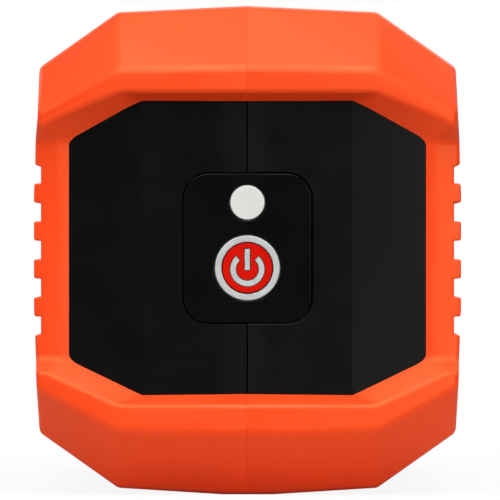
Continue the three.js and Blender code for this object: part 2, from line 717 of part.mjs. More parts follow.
// Power symbol, an open circle with a bar, grown by a margin
function powerSymbol(grow) {
  const centreZ = buttonZ - SYMBOL_DROP;
  const outer = SYMBOL_OUTER_R + grow;
  const inner = SYMBOL_INNER_R - grow;
  const opening = THREE.MathUtils.degToRad(SYMBOL_OPENING) - grow / SYMBOL_OUTER_R;
  const arc = new THREE.Shape();
  arc.absarc(0, centreZ, outer, Math.PI / 2 + opening, Math.PI * 2.5 - opening);
  arc.absarc(0, centreZ, inner, Math.PI * 2.5 - opening, Math.PI / 2 + opening, true);
  const half = BAR_W / 2 + grow;
  const bar = outlineShape([
    [-half, buttonZ + BAR_BOTTOM - grow], [half, buttonZ + BAR_BOTTOM - grow],
    [half, buttonZ + BAR_TOP + grow], [-half, buttonZ + BAR_TOP + grow],
  ]);
  return [arc, bar];
}

function buttonCap() {
  const slots = powerSymbol(SYMBOL_GAP).map((shape) => slab(shape, frontY(0), frontY(capBack + OVER), ROUND));
  return cut(rod(BUTTON_R, frontY(capFront), frontY(capBack), 0, buttonZ, FINE), ...slots);
}

function buttonCore() {
  const symbol = powerSymbol(0).map((shape) => slab(
    shape, frontY(capFront), frontY(coreFront + OVER), ROUND));
  return fuse(
    rod(BUTTON_R, frontY(coreFront), frontY(coreFlangeBack), 0, buttonZ, FINE),
    rod(CORE_FLANGE_R, frontY(coreFlangeFront), frontY(coreFlangeBack), 0, buttonZ, ROUND),
    rod(STEM_R, frontY(coreFlangeFront), frontY(plungerFront - FIT_GAP), 0, buttonZ, ROUND),
    ...symbol);
}

function buttonSeal() {
  return cut(
    rod(RING_FLANGE_R, frontY(sealFront), frontY(sealFront + SEAL_T), 0, buttonZ, ROUND),
    rod(STEM_R + FIT_GAP, frontY(0), frontY(CONTROL_BOARD_DEPTH), 0, buttonZ, ROUND));
}

function switchBody() {
  const half = SWITCH_SIZE / 2;
  return cut(
    block(-half, half, frontY(switchFront), frontY(switchBack), buttonZ - half, buttonZ + half),
    rod(PLUNGER_R + BUTTON_GAP, frontY(0),
      frontY(switchFront + PLUNGER_IN + BUTTON_TRAVEL + FIT_GAP), 0, buttonZ, ROUND));
}

function switchPlunger() {
  return rod(PLUNGER_R, frontY(plungerFront), frontY(switchFront + PLUNGER_IN), 0, buttonZ, ROUND);
}

function lampLed() {
  const half = LED_SIZE / 2;
  return block(-half, half, frontY(CONTROL_BOARD_DEPTH - FIT_GAP - LED_H),
    frontY(CONTROL_BOARD_DEPTH - FIT_GAP), lampZ - half, lampZ + half);
}

function controlBoard() {
  const outline = roundedRect(CONTROL_BOARD_W, CONTROL_BOARD_H, BOARD_R, 0, PANEL_Z);
  const back = CONTROL_BOARD_DEPTH + BOARD_T;
  const holes = boardScrewPlaces.map(({ x, z }) => rod(
    BOARD_SCREW_R + PILOT_GAP, frontY(0), frontY(back + OVER), x, z, COARSE));
  return cut(slab(outline, frontY(CONTROL_BOARD_DEPTH), frontY(back), COARSE_ARC), ...holes);
}

// Drawn about the seat of its head, with the head towards +Y
function boardScrew() {
  return fuse(
    rod(BOARD_SCREW_HEAD_R, 0, BOARD_SCREW_HEAD_H, 0, 0, COARSE),
    rod(BOARD_SCREW_R, -BOARD_T - BOARD_SCREW_REACH, BOARD_SCREW_HEAD_H / 2, 0, 0, COARSE));
}

// ---------------------------------------------------------------- battery

function cellX(index) {
  return (index - (CELL_COUNT - 1) / 2) * cellPitch;
}

// Flat cell, drawn about its own middle plane, with both tabs at its rear
function batteryCell() {
  const body = slab(roundedRect(cellT, 2 * cellHalfH, CELL_R), cellFrontY, cellRearY, COARSE_ARC);
  const tabs = SIGNS.map((side) => block(
    -TAB_T / 2, TAB_T / 2, cellRearY - OVER, cellRearY + TAB_LENGTH,
    side * (TAB_Z - TAB_W / 2), side * (TAB_Z + TAB_W / 2)));
  return fuse(body, ...tabs);
}

function cellPad() {
  const half = cellHalfH - PAD_MARGIN;
  return block(-PAD_T / 2, PAD_T / 2, cellFrontY + PAD_MARGIN, cellRearY - PAD_MARGIN, -half, half);
}

// Frame that holds one end of the stack in the case; its lip stops the cells
function batteryFrame(outsideY, towards) {
  const lipY = outsideY + towards * FRAME_LIP;
  const insideY = lipY + towards * (FIT_GAP + FRAME_HOLD);
  const beyond = towards * OVER;
  const seatW = 2 * (stackHalfW + FIT_GAP);
  const seatH = 2 * (cellHalfH + FIT_GAP);
  const mouth = roundedRect(seatW - 2 * FRAME_LIP_H, seatH - 2 * FRAME_LIP_H, FRAME_R);
  return cut(
    slab(octagon(-WALL - FIT_GAP), outsideY, insideY),
    slab(roundedRect(seatW, seatH, FRAME_R), lipY, insideY + beyond, COARSE_ARC),
    slab(mouth, outsideY - beyond, insideY, COARSE_ARC),
    block(-CABLE_W / 2 - CABLE_CLEARANCE, CABLE_W / 2 + CABLE_CLEARANCE, outsideY - beyond, insideY + beyond,
      cellHalfH - FRAME_LIP_H, cableTop + CABLE_CLEARANCE));
}

const socketBarZ = SOCKET_Z - BAR_WIDTH / 2;

function cellLink(index) {
  const side = index % 2 === 0 ? -1 : 1;
  return block(cellX(index) - TAB_T, cellX(index + 1) + TAB_T, plateFront, plateRear,
    side * (TAB_Z - BAR_WIDTH / 2), side * (TAB_Z + BAR_WIDTH / 2));
}

// The fuse bridges from the first cell's tab to the positive bar
function mainFuse() {
  const x = cellX(0);
  const top = TAB_Z + TAB_W / 2;
  const middle = top - FUSE_H / 2;
  return fuse(
    block(x - BAR_WIDTH / 2, x + BAR_WIDTH / 2, plateFront, plateRear, top - FUSE_H, top),
    block(x - BAR_WIDTH / 2 - FUSE_BODY_PROUD, x + BAR_WIDTH / 2 + FUSE_BODY_PROUD,
      plateFront, plateFront + FUSE_BODY_T, middle - FUSE_BODY / 2, middle + FUSE_BODY / 2));
}

function positiveBusBar() {
  const left = cellX(0) - BAR_WIDTH / 2;
  const right = SOCKET_X - CONTACT_X + BAR_WIDTH / 2;
  const top = TAB_Z + TAB_W / 2 - FUSE_H - FIT_GAP;
  const runTop = socketBarZ + BAR_WIDTH;
  return slab(outlineShape([
    [left, socketBarZ], [right, socketBarZ], [right, runTop],
    [left + BAR_WIDTH, runTop], [left + BAR_WIDTH, top], [left, top],
  ]), plateFront, plateRear);
}

function negativeBusBar() {
  const right = cellX(CELL_COUNT - 1) + BAR_WIDTH / 2;
  const left = SOCKET_X + CONTACT_X - BAR_WIDTH / 2;
  const runLow = socketBarZ + BAR_WIDTH;
  const runTop = runLow + BAR_WIDTH;
  const top = TAB_Z + TAB_W / 2;
  return slab(outlineShape([
    [left, socketBarZ], [left + BAR_WIDTH, socketBarZ], [left + BAR_WIDTH, runLow], [right, runLow],
    [right, top], [right - BAR_WIDTH, top], [right - BAR_WIDTH, runTop], [left, runTop],
  ]), plateFront, plateRear);
}

// ---------------------------------------------------------------- electronics at the rear

function mainBoard() {
  const tails = SIGNS.map((side) => rod(
    CONTACT_TAIL_R + FIT_GAP, mainBoardFront - OVER, mainBoardRear + OVER,
    SOCKET_X + side * CONTACT_X, SOCKET_Z, ROUND));
  return cut(slab(octagon(-WALL - FIT_GAP), mainBoardFront, mainBoardRear), ...tails);
}

const boardEdgeX = caseHalfW - WALL - FIT_GAP;
const boardEdgeZ = WALL + FIT_GAP - caseHalfH;
const capacitorX = boardEdgeX - CAPACITOR.inset;
const transistorX = capacitorX - TRANSISTOR.beside;
const transistorZ = boardEdgeZ + TRANSISTOR.rise;

function boostInductor() {
  const outline = roundedRect(INDUCTOR.size, INDUCTOR.size, INDUCTOR.r,
    boardEdgeX - INDUCTOR.inset, boardEdgeZ + INDUCTOR.rise);
  return slab(outline, partsBack - INDUCTOR.h, partsBack, COARSE_ARC);
}

function smoothingCapacitor() {
  return rod(CAPACITOR.r, partsBack - CAPACITOR.h, partsBack,
    capacitorX, boardEdgeZ + CAPACITOR.rise, ROUND);
}

function powerTransistor(index) {
  const x = transistorX + (index - 0.5) * TRANSISTOR.pitch;
  return block(x - TRANSISTOR.w / 2, x + TRANSISTOR.w / 2, partsBack - TRANSISTOR.h, partsBack,
    transistorZ - TRANSISTOR.d / 2, transistorZ + TRANSISTOR.d / 2);
}

function heatSpreader() {
  const back = partsBack - TRANSISTOR.h - FIT_GAP;
  return block(transistorX - SPREADER.w / 2, transistorX + SPREADER.w / 2, back - SPREADER.t, back,
    transistorZ - SPREADER.d / 2, transistorZ + SPREADER.d / 2);
}

// Folded flat cable: back from the control board, up, and over the battery
function panelCable() {
  const start = frontY(CONTROL_BOARD_DEPTH + BOARD_T + FIT_GAP);
  const low = PANEL_Z + CABLE_START_Z;
  const rise = frontY(CABLE_RISE_DEPTH);
  return crossSlab(outlineShape([
    [start, low - CABLE_T], [rise, low - CABLE_T], [rise, cableTop - CABLE_T],
    [partsBack, cableTop - CABLE_T], [partsBack, cableTop], [rise - CABLE_T, cableTop],
    [rise - CABLE_T, low], [start, low],
  ]), -CABLE_W / 2, CABLE_W / 2);
}

// ---------------------------------------------------------------- rear panel and ports

const portFront = rearFace + FIT_GAP;
const portBack = MAIN_BOARD_DEPTH - FIT_GAP;
const covers = [
  { name: 'socket_cover', x: SOCKET_X, width: SOCKET_COVER_W },
  { name: 'port_cover', x: PORT_X, width: PORT_COVER_W },
];
const hingeY = rearY(HINGE_DEPTH);

// A pair of ears per cover, with the bore that the pin sits in
function hingeEars({ x, width }) {
  const ears = SIGNS.map((side) => {
    const outside = x + side * width / 2;
    const inside = outside - side * EAR_W;
    return fuse(
      crossRod(EAR_R, inside, outside, hingeY, HINGE_Z, ROUND),
      block(inside, outside, hingeY, rearY(rearFace + OVER), HINGE_Z - EAR_R, HINGE_Z + EAR_R));
  });
  return cut(fuse(...ears), hingeBore(x, width));
}

function hingeBore(x, width) {
  return crossRod(PIN_R + PIN_CLEARANCE, x - width, x + width, hingeY, HINGE_Z, ROUND);
}

function rearPanel() {
  const plate = slab(roundedRect(REAR_W, REAR_H, REAR_R), rearY(rearFace), rearY(rearBack));
  const gap = 2 * FIT_GAP;
  const through = rearY(rearBack + OVER);
  const windows = [
    roundedRect(SOCKET_W + gap, SOCKET_H + gap, SOCKET_R + FIT_GAP, SOCKET_X, SOCKET_Z),
    ...[USB_A, USB_C].map((port) => roundedRect(
      port.w + gap, port.h + gap, port.r + FIT_GAP, PORT_X, port.z)),
  ].map((outline) => slab(outline, rearY(0), through));
  const screwHoles = rearScrewPlaces.flatMap(({ x, z }) => [
    rod(REAR_SCREW_R + PILOT_GAP, rearY(0), through, x, z, COARSE),
    rod(REAR_SCREW_HEAD_R + PILOT_GAP, rearY(0), rearY(rearFace + REAR_SCREW_HEAD_H), x, z, ROUND),
  ]);
  return fuse(cut(plate, ...windows, ...screwHoles), ...covers.map(hingeEars));
}

function jumpSocket() {
  const outline = (margin, radius) => roundedRect(
    SOCKET_W + 2 * margin, SOCKET_H + 2 * margin, radius, SOCKET_X, SOCKET_Z);
  const nose = slab(outline(0, SOCKET_R), rearY(portFront), rearY(portBack));
  const flange = slab(
    outline(SOCKET_FLANGE, SOCKET_R), rearY(ledgeFront), rearY(ledgeFront + SOCKET_FLANGE_T));
  const cavity = slab(
    outline(-SOCKET_WALL, SOCKET_CAVITY_R), rearY(0), rearY(portFront + SOCKET_CAVITY), COARSE_ARC);
  const bores = SIGNS.map((side) => rod(
    CONTACT_R + FIT_GAP, rearY(0), rearY(portBack + OVER), SOCKET_X + side * CONTACT_X, SOCKET_Z, ROUND));
  return cut(fuse(nose, flange), cavity, ...bores);
}

function socketContact(side) {
  const x = SOCKET_X + side * CONTACT_X;
  const tip = portFront + SOCKET_CAVITY - CONTACT_STANDS;
  return fuse(
    rod(CONTACT_R, rearY(tip), rearY(portBack), x, SOCKET_Z, ROUND),
    rod(CONTACT_TAIL_R, rearY(portBack - OVER), plateRear + FIT_GAP, x, SOCKET_Z, ROUND));
}

function usbPort(port) {
  const shell = slab(roundedRect(port.w, port.h, port.r, PORT_X, port.z), rearY(portFront), rearY(portBack));
  const inner = roundedRect(port.w - 2 * port.wall, port.h - 2 * port.wall, port.innerR, PORT_X, port.z);
  const floor = portFront + port.cavity;
  const tongue = block(
    PORT_X - port.tongueW / 2, PORT_X + port.tongueW / 2,
    rearY(portFront + TONGUE_SHORT), rearY(floor + OVER),
    port.z - port.tongueT / 2, port.z + port.tongueT / 2);
  return fuse(cut(shell, slab(inner, rearY(0), rearY(floor))), tongue);
}

// Drawn about its hinge axis, with the ports on the -Y side
function portCover(width) {
  const front = HINGE_DEPTH - rearFace + COVER_LIFT;
  const outside = front + COVER_T;
  const half = width / 2;
  const knuckleHalf = half - EAR_W - FIT_GAP;
  const bottom = COVER_BOTTOM_Z - HINGE_Z;
  const lipHalf = half * TAB_LIP_SHARE;
  const plate = slab(
    roundedRect(width, -COVER_DROP - bottom, COVER_R, 0, (bottom - COVER_DROP) / 2),
    front, outside, COARSE_ARC);
  const web = block(-knuckleHalf, knuckleHalf, front, outside, -COVER_DROP - COVER_R, 0);
  const lip = block(-lipHalf, lipHalf, outside - TAB_LIP_T, outside, bottom - TAB_LIP, bottom + OVER);
  const bore = crossRod(PIN_R + PIN_CLEARANCE, -width, width, 0, 0, ROUND);
  const roundTop = crossRod(KNUCKLE_R, -knuckleHalf, knuckleHalf, 0, 0, ROUND);
  return cut(fuse(plate, web, lip, roundTop), bore);
}

function coverPin(width) {
  return crossRod(PIN_R, -width / 2 + PIN_SHORT, width / 2 - PIN_SHORT, 0, 0, COARSE);
}

// ---------------------------------------------------------------- screws

// Drawn about the seat of its head, with the head towards +Y
function rearScrew() {
  return fuse(
    rod(REAR_SCREW_HEAD_R, 0, REAR_SCREW_HEAD_H - FIT_GAP, 0, 0, ROUND),
    rod(REAR_SCREW_R, -REAR_SCREW_LENGTH, REAR_SCREW_HEAD_H / 2, 0, 0, COARSE));
}

// Drawn about the seat of its head, with the head towards +X
function caseScrew() {
  return fuse(
    crossRod(SCREW_HEAD_R, 0, SCREW_HEAD_H, 0, 0, ROUND),
    crossRod(SCREW_SHANK_R, -SCREW_SEAT_X - FIT_GAP - SCREW_REACH, SCREW_HEAD_H / 2, 0, 0, COARSE));
}

// ---------------------------------------------------------------- materials

function finish(color, roughness, metalness = 0) {
  return () => new THREE.MeshStandardMaterial({ color, roughness, metalness });
}

const orangeRubber = finish(0xf2501c, 0.55);
const blackPlastic = finish(0x121211, 0.4);
const glossBlack = finish(0x0c0d0d, 0.25);
const redPlastic = finish(0xd81a08, 0.35);
const whitePlastic = finish(0xe2e5df, 0.35);
const sealRubber = finish(0x1b1b1b, 0.8);
const coverRubber = finish(0x1c1c1c, 0.65);
const boardGreen = finish(0x1d4a2c, 0.5);
const steel = finish(0xb8babd, 0.3, 1);
const darkSteel = finish(0x3a3b3d, 0.4, 1);
const copper = finish(0xb87340, 0.35, 1);
const brass = finish(0xc9a552, 0.3, 1);
const pouchFoil = finish(0xaeb2b6, 0.45, 0.6);
const foam = finish(0x3a3c40, 0.95);
const framePlastic = finish(0x2b2d30, 0.6);
const socketBlue = finish(0x16407e, 0.4);
const fuseAmber = finish(0xb9822a, 0.4);
const darkComponent = finish(0x232426, 0.55);

// ---------------------------------------------------------------- assembly

const pack = new THREE.Group();
pack.position.z = HALF_HEIGHT;

function place(name, solid, material, parent = pack) {
  const mesh = new THREE.Mesh(toGeometry(solid), material());
  mesh.name = name;
  parent.add(mesh);
  return mesh;
}

const halves = [['left', -1], ['right', 1]];
const armour = armourBody();
const shell = caseBody();
for (const [name, side] of halves) {
  place(`armour_${name}`, armour.intersect(halfSpace(side)), orangeRubber);
  place(`case_${name}`, shell.intersect(halfSpace(side)), blackPlastic);
}

place('control_panel', controlPanel(), glossBlack);
place('panel_gasket', panelGasket(), sealRubber);
place('lamp_lens', lampLens(), whitePlastic);
place('light_ring', lightRing(), whitePlastic);
place('button_cap', buttonCap(), redPlastic);
place('button_core', buttonCore(), whitePlastic);
place('button_seal', buttonSeal(), sealRubber);
place('control_board', controlBoard(), boardGreen);
place('switch_body', switchBody(), darkComponent);
place('switch_plunger', switchPlunger(), whitePlastic);
place('lamp_led', lampLed(), whitePlastic);
boardScrewPlaces.forEach(({ x, z }, i) => {
  const mesh = place(`control_board_screw_${i + 1}`, boardScrew(), steel);
  mesh.position.set(x, frontY(CONTROL_BOARD_DEPTH + BOARD_T + FIT_GAP), z);
});

const battery = new THREE.Group();
pack.add(battery);
for (let i = 0; i < CELL_COUNT; i += 1) {
  place(`battery_cell_${i + 1}`, batteryCell(), pouchFoil, battery).position.x = cellX(i);
  if (i < CELL_COUNT - 1) {
    place(`cell_pad_${i + 1}`, cellPad(), foam, battery).position.x = (cellX(i) + cellX(i + 1)) / 2;
    place(`cell_link_${i + 1}`, cellLink(i), copper, battery);
  }
}
place('battery_frame_front', batteryFrame(frameFrontY, 1), framePlastic, battery);
place('battery_frame_rear', batteryFrame(frameRearY, -1), framePlastic, battery);
place('main_fuse', mainFuse(), fuseAmber, battery);
place('positive_bus_bar', positiveBusBar(), copper, battery);
place('negative_bus_bar', negativeBusBar(), copper, battery);

place('main_board', mainBoard(), boardGreen);
place('boost_inductor', boostInductor(), darkComponent);
place('smoothing_capacitor', smoothingCapacitor(), darkComponent);
place('power_transistor_1', powerTransistor(0), darkComponent);
place('power_transistor_2', powerTransistor(1), darkComponent);
place('heat_spreader', heatSpreader(), steel);
place('panel_cable', panelCable(), framePlastic);

place('rear_panel', rearPanel(), blackPlastic);
place('jump_socket', jumpSocket(), socketBlue);
place('socket_contact_positive', socketContact(-1), brass);
place('socket_contact_negative', socketContact(1), brass);
place('usb_a_port', usbPort(USB_A), steel);
place('usb_c_port', usbPort(USB_C), steel);
for (const { name, x, width } of covers) {
  const hinge = new THREE.Group();
  hinge.position.set(x, hingeY, HINGE_Z);
  pack.add(hinge);
  place(name, portCover(width), coverRubber, hinge);
  place(`${name}_pin`, coverPin(width), steel, hinge);
}
rearScrewPlaces.forEach(({ x, z }, i) => {
  const mesh = place(`rear_panel_screw_${i + 1}`, rearScrew(), darkSteel);
  mesh.position.set(x, rearY(rearFace + REAR_SCREW_HEAD_H - FIT_GAP), z);
});
screwPlaces.forEach(({ y, z }, i) => {
  const mesh = place(`case_screw_${i + 1}`, caseScrew(), darkSteel);
  mesh.position.set(SCREW_SEAT_X + FIT_GAP, y, z);
});

export default pack;
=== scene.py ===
"""Jump starter pack with a rubber armour. Metres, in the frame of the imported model.

The control panel looks towards -Y and the ports towards +Y; the pack lies on z = 0.
"""

import json
import math

import bmesh
import bpy
from mathutils import Matrix, Vector
from mathutils.bvhtree import BVHTree


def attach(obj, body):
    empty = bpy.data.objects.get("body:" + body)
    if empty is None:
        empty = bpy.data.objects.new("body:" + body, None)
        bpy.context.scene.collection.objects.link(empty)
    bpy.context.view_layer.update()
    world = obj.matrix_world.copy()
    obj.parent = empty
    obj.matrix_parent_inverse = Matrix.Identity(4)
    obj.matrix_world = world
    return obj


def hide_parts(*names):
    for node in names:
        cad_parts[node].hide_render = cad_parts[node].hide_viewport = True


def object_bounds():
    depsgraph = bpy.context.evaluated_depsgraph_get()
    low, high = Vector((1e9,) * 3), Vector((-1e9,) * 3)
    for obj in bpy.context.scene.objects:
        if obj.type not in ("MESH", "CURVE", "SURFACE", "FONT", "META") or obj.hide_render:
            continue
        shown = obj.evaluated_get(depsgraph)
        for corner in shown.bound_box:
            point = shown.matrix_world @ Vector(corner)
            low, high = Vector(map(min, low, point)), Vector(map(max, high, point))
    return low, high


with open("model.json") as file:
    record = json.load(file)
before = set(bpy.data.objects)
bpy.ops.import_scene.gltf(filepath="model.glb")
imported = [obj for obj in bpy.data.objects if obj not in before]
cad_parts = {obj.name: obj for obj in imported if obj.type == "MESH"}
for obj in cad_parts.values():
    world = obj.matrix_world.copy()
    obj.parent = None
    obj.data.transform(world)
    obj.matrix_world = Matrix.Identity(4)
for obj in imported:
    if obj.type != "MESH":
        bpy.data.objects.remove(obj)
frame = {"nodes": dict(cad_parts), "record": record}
cad_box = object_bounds()

MM = 0.001

low, high = cad_box
MIDDLE = Vector(((low[0] + high[0]) / 2, 0, (low[2] + high[2]) / 2))


# ---------------------------------------------------------------- objects and nodes

def add_object(name, data):
    obj = bpy.data.objects.new(name, data)
    bpy.context.collection.objects.link(obj)
    return obj


def mesh_object(bm, name):
    data = bpy.data.meshes.new(name)
    bm.to_mesh(data)
    bm.free()
    return add_object(name, data)


def aim(obj, target):
    obj.rotation_euler = (Vector(target) - obj.location).to_track_quat("-Z", "Y").to_euler()


def add_node(tree, kind, inputs=(), **settings):
    """Adds a shader node. Its inputs are other nodes' outputs, or plain values."""
    node = tree.nodes.new("ShaderNode" + kind)
    for name, value in settings.items():
        setattr(node, name, value)
    for socket, value in dict(inputs).items():
        if isinstance(value, bpy.types.NodeSocket):
            tree.links.new(value, node.inputs[socket])
        else:
            node.inputs[socket].default_value = value
    return node


def calculated(tree, operation, first, second=0.0):
    return add_node(tree, "Math", {0: first, 1: second}, operation=operation).outputs[0]


def ranged(tree, value, span, results, interpolation="LINEAR"):
    """Maps a span of a value to the span between two results."""
    node = add_node(tree, "MapRange", {
        "Value": value, "From Min": span[0], "From Max": span[1],
        "To Min": results[0], "To Max": results[1]}, interpolation_type=interpolation)
    return node.outputs[0]


def faded(tree, value, span, results=(0.0, 1.0)):
    return ranged(tree, value, span, results, "SMOOTHSTEP")


def mixed_shaders(tree, share, first, second):
    return add_node(tree, "MixShader", {0: share, 1: first.outputs[0], 2: second.outputs[0]})


# ---------------------------------------------------------------- camera, light and floor

PIXEL = 0.2 * MM  # one pixel of the photograph, at the outline of the near bumper
PICTURE = 500
MIDDLE_COLUMN = 247.6  # where the middle of the pack lies in the photograph
MIDDLE_ROW = 250.0
OUTLINE_DEPTH = 12 * MM  # of the near bumper's outline behind its foremost edge
OUTLINE_Y = low[1] + OUTLINE_DEPTH
CAMERA_DISTANCE = 1.5
CAMERA_TURN = math.radians(0.3)  # towards the right
CAMERA_RANGE = (0.01, 50)
SENSOR = 36 * MM

LAMPS = (  # name, azimuth and elevation in degrees, distance, width and height, radiance
    ("top_box", 4, 62, 1.0, (0.9, 0.5), 4.9),
    ("front_box", -6, 34, 1.3, (0.7, 0.6), 5.0),
    ("right_box", 27, 8, 1.3, (0.2, 0.7), 9.0),
    ("left_box", -62, 15, 1.4, (0.4, 0.7), 2.2),
    ("rear_box", 165, 40, 1.4, (0.8, 0.6), 4.0),
    ("rear_side_box", 235, 18, 1.4, (0.4, 0.8), 2.0),
)

WHITE = (1, 1, 1, 1)
STUDIO_SPAN = (-0.9, 0.6)  # of a direction's Y, from the camera's side to the back
STUDIO_LIGHT = (0.04, 0.42)
MIRROR_SPAN = (0.2, 0.7)  # of a direction's Y, from where reflections turn white

FLOOR_SIZE = 8.0
GREY_SPAN = (0.14, 0.33)  # how far out the floor that lights the pack turns from grey to dark
GREYS = (0.56, 0.06)
SHADOW_SPAN = (0.12, 0.32)  # how far out the shadow on the seen floor fades into white
WHITE_SHARES = (0.9, 1.0)
PAPER = (0.9, 0.9, 0.9, 1)


def add_camera():
    data = bpy.data.cameras.new("photo_camera")
    camera = add_object("photo_camera", data)
    seen = Vector((MIDDLE.x + (PICTURE / 2 - MIDDLE_COLUMN) * PIXEL, OUTLINE_Y,
                   MIDDLE.z + (MIDDLE_ROW - PICTURE / 2) * PIXEL))
    towards_camera = Vector((math.sin(CAMERA_TURN), -math.cos(CAMERA_TURN), 0))
    camera.location = seen + CAMERA_DISTANCE * towards_camera
    aim(camera, seen)
    data.sensor_width = SENSOR / MM
    data.lens = data.sensor_width * CAMERA_DISTANCE / (PICTURE * PIXEL)
    data.clip_start, data.clip_end = CAMERA_RANGE
    bpy.context.scene.camera = camera


def add_lamp(name, azimuth, elevation, distance, size, radiance):
    """A soft box that looks at the pack. Azimuth 0 is the camera's side, 90 is the right."""
    turn, rise = math.radians(azimuth), math.radians(elevation)
    data = bpy.data.lights.new(name, "AREA")
    data.shape = "RECTANGLE"
    data.size, data.size_y = size
    data.energy = radiance * math.pi * size[0] * size[1]
    lamp = add_object(name, data)
    lamp.location = MIDDLE + distance * Vector((
        math.sin(turn) * math.cos(rise), -math.cos(turn) * math.cos(rise), math.sin(rise)))
    aim(lamp, MIDDLE)


def add_world():
    """White where the camera looks past the pack, and a dim studio for everything else."""
    bpy.context.scene.view_settings.view_transform = "Standard"
    world = bpy.data.worlds.new("studio")
    bpy.context.scene.world = world
    world.use_nodes = True
    tree = world.node_tree
    tree.nodes.clear()
    coords = add_node(tree, "TexCoord")
    axes = add_node(tree, "SeparateXYZ", {0: coords.outputs["Generated"]})
    strength = faded(tree, axes.outputs["Y"], STUDIO_SPAN, STUDIO_LIGHT)
    dim = add_node(tree, "Background", {"Color": WHITE, "Strength": strength})
    white = add_node(tree, "Background", {"Color": WHITE})
    path = add_node(tree, "LightPath")
    seen = calculated(tree, "MAXIMUM", path.outputs["Is Camera Ray"],
                      path.outputs["Is Transmission Ray"])
    mirrored = calculated(tree, "MULTIPLY", path.outputs["Is Glossy Ray"],
                          faded(tree, axes.outputs["Y"], MIRROR_SPAN))
    whole = mixed_shaders(tree, calculated(tree, "MAXIMUM", seen, mirrored), dim, white)
    add_node(tree, "OutputWorld", {"Surface": whole.outputs[0]})


def add_floor():
    """Nearly white paper with a soft shadow for the camera, and grey felt for the light."""
    bm = bmesh.new()
    bmesh.ops.create_grid(bm, x_segments=1, y_segments=1, size=FLOOR_SIZE / 2)
    floor = mesh_object(bm, "floor")
    material = bpy.data.materials.new("floor_paper")
    material.use_nodes = True
    tree = material.node_tree
    tree.nodes.clear()
    coords = add_node(tree, "TexCoord")
    away = add_node(tree, "VectorMath", {0: coords.outputs["Object"]},
                    operation="LENGTH").outputs["Value"]
    paper = add_node(tree, "BsdfDiffuse", {"Color": PAPER})
    white = add_node(tree, "Emission")
    seen = mixed_shaders(tree, faded(tree, away, SHADOW_SPAN, WHITE_SHARES), paper, white)
    felt = add_node(tree, "BsdfDiffuse", {"Color": faded(tree, away, GREY_SPAN, GREYS)})
    path = add_node(tree, "LightPath")
    whole = mixed_shaders(tree, path.outputs["Is Camera Ray"], felt, seen)
    add_node(tree, "OutputMaterial", {"Surface": whole.outputs[0]})
    floor.data.materials.append(material)


# ---------------------------------------------------------------- finishes

NOISE_SPAN = (0.35, 0.65)  # of a noise texture, which seldom reaches its ends
MOTTLE_DETAIL = 3.0
GLOSS_DETAIL = 4.0
GRAIN_DETAIL = 2.0


def object_coordinates(tree, stretch=(1, 1, 1)):
    coords = add_node(tree, "TexCoord")
    mapping = add_node(tree, "Mapping", {"Vector": coords.outputs["Object"], "Scale": stretch})
    return mapping.outputs["Vector"]


def noise(tree, feature, detail, stretch):
    """Noise whose features are about that many metres across."""
    texture = add_node(tree, "TexNoise", {
        "Scale": 1 / feature, "Detail": detail, "Vector": object_coordinates(tree, stretch)})
    return texture.outputs["Fac"]


def shades(tree, value, first, second):
    ramp = add_node(tree, "ValToRGB", {"Fac": value})
    for element, place, colour in zip(ramp.color_ramp.elements, NOISE_SPAN, (first, second)):
        element.position = place
        element.color = (*colour, 1)
    return ramp.outputs["Color"]


def moulded(name, first, second, roughness, mottle=12 * MM, grain=0.35 * MM, depth=0.01 * MM,
            metal=0.0, specular=0.5, tint=(1, 1, 1), stretch=(1, 1, 1)):
    """A finish with a slight mottle in its colour, a roughness that varies and a fine grain.

    Its colour lies between first and second, its roughness between the two that are given.
    """
    material = bpy.data.materials.new(name)
    material.use_nodes = True
    tree = material.node_tree
    shader = tree.nodes["Principled BSDF"]
    colour = shades(tree, noise(tree, mottle, MOTTLE_DETAIL, stretch), first, second)
    tree.links.new(colour, shader.inputs["Base Color"])
    gloss = ranged(tree, noise(tree, mottle / 2, GLOSS_DETAIL, stretch), NOISE_SPAN, roughness)
    tree.links.new(gloss, shader.inputs["Roughness"])
    bump = add_node(tree, "Bump", {
        "Height": noise(tree, grain, GRAIN_DETAIL, stretch), "Distance": depth})
    tree.links.new(bump.outputs["Normal"], shader.inputs["Normal"])
    shader.inputs["Metallic"].default_value = metal
    shader.inputs["Specular IOR Level"].default_value = specular
    shader.inputs["Specular Tint"].default_value = (*tint, 1)
    return material


# Painted highlight on the black case: its base colour turns lighter in a band beside the seam,
# standing in for a reflection.
PAINTED_HIGHLIGHT_MIDDLE = -0.8 * MM  # a little to the left of the seam
PAINTED_HIGHLIGHT_SPAN = (2.5 * MM, 6 * MM)  # how far out the painted highlight starts to fade, and ends
PAINTED_SEAM_HIGHLIGHT = (0.0034, 0.0034, 0.0030)


def add_painted_seam_highlight(material):
    """A painted highlight: a soft lighter band in the base colour on both sides of the seam."""
    tree = material.node_tree
    base = tree.nodes["Principled BSDF"].inputs["Base Color"]
    axes = add_node(tree, "SeparateXYZ", {0: object_coordinates(tree)})
    across = calculated(tree, "SUBTRACT", axes.outputs["X"], PAINTED_HIGHLIGHT_MIDDLE)
    highlight_band = faded(tree, calculated(tree, "ABSOLUTE", across), PAINTED_HIGHLIGHT_SPAN, (1.0, 0.0))
    mix = add_node(tree, "Mix", {
        "Factor": highlight_band, "A": base.links[0].from_socket, "B": (*PAINTED_SEAM_HIGHLIGHT, 1)},
        data_type="RGBA")
    tree.links.new(mix.outputs["Result"], base)


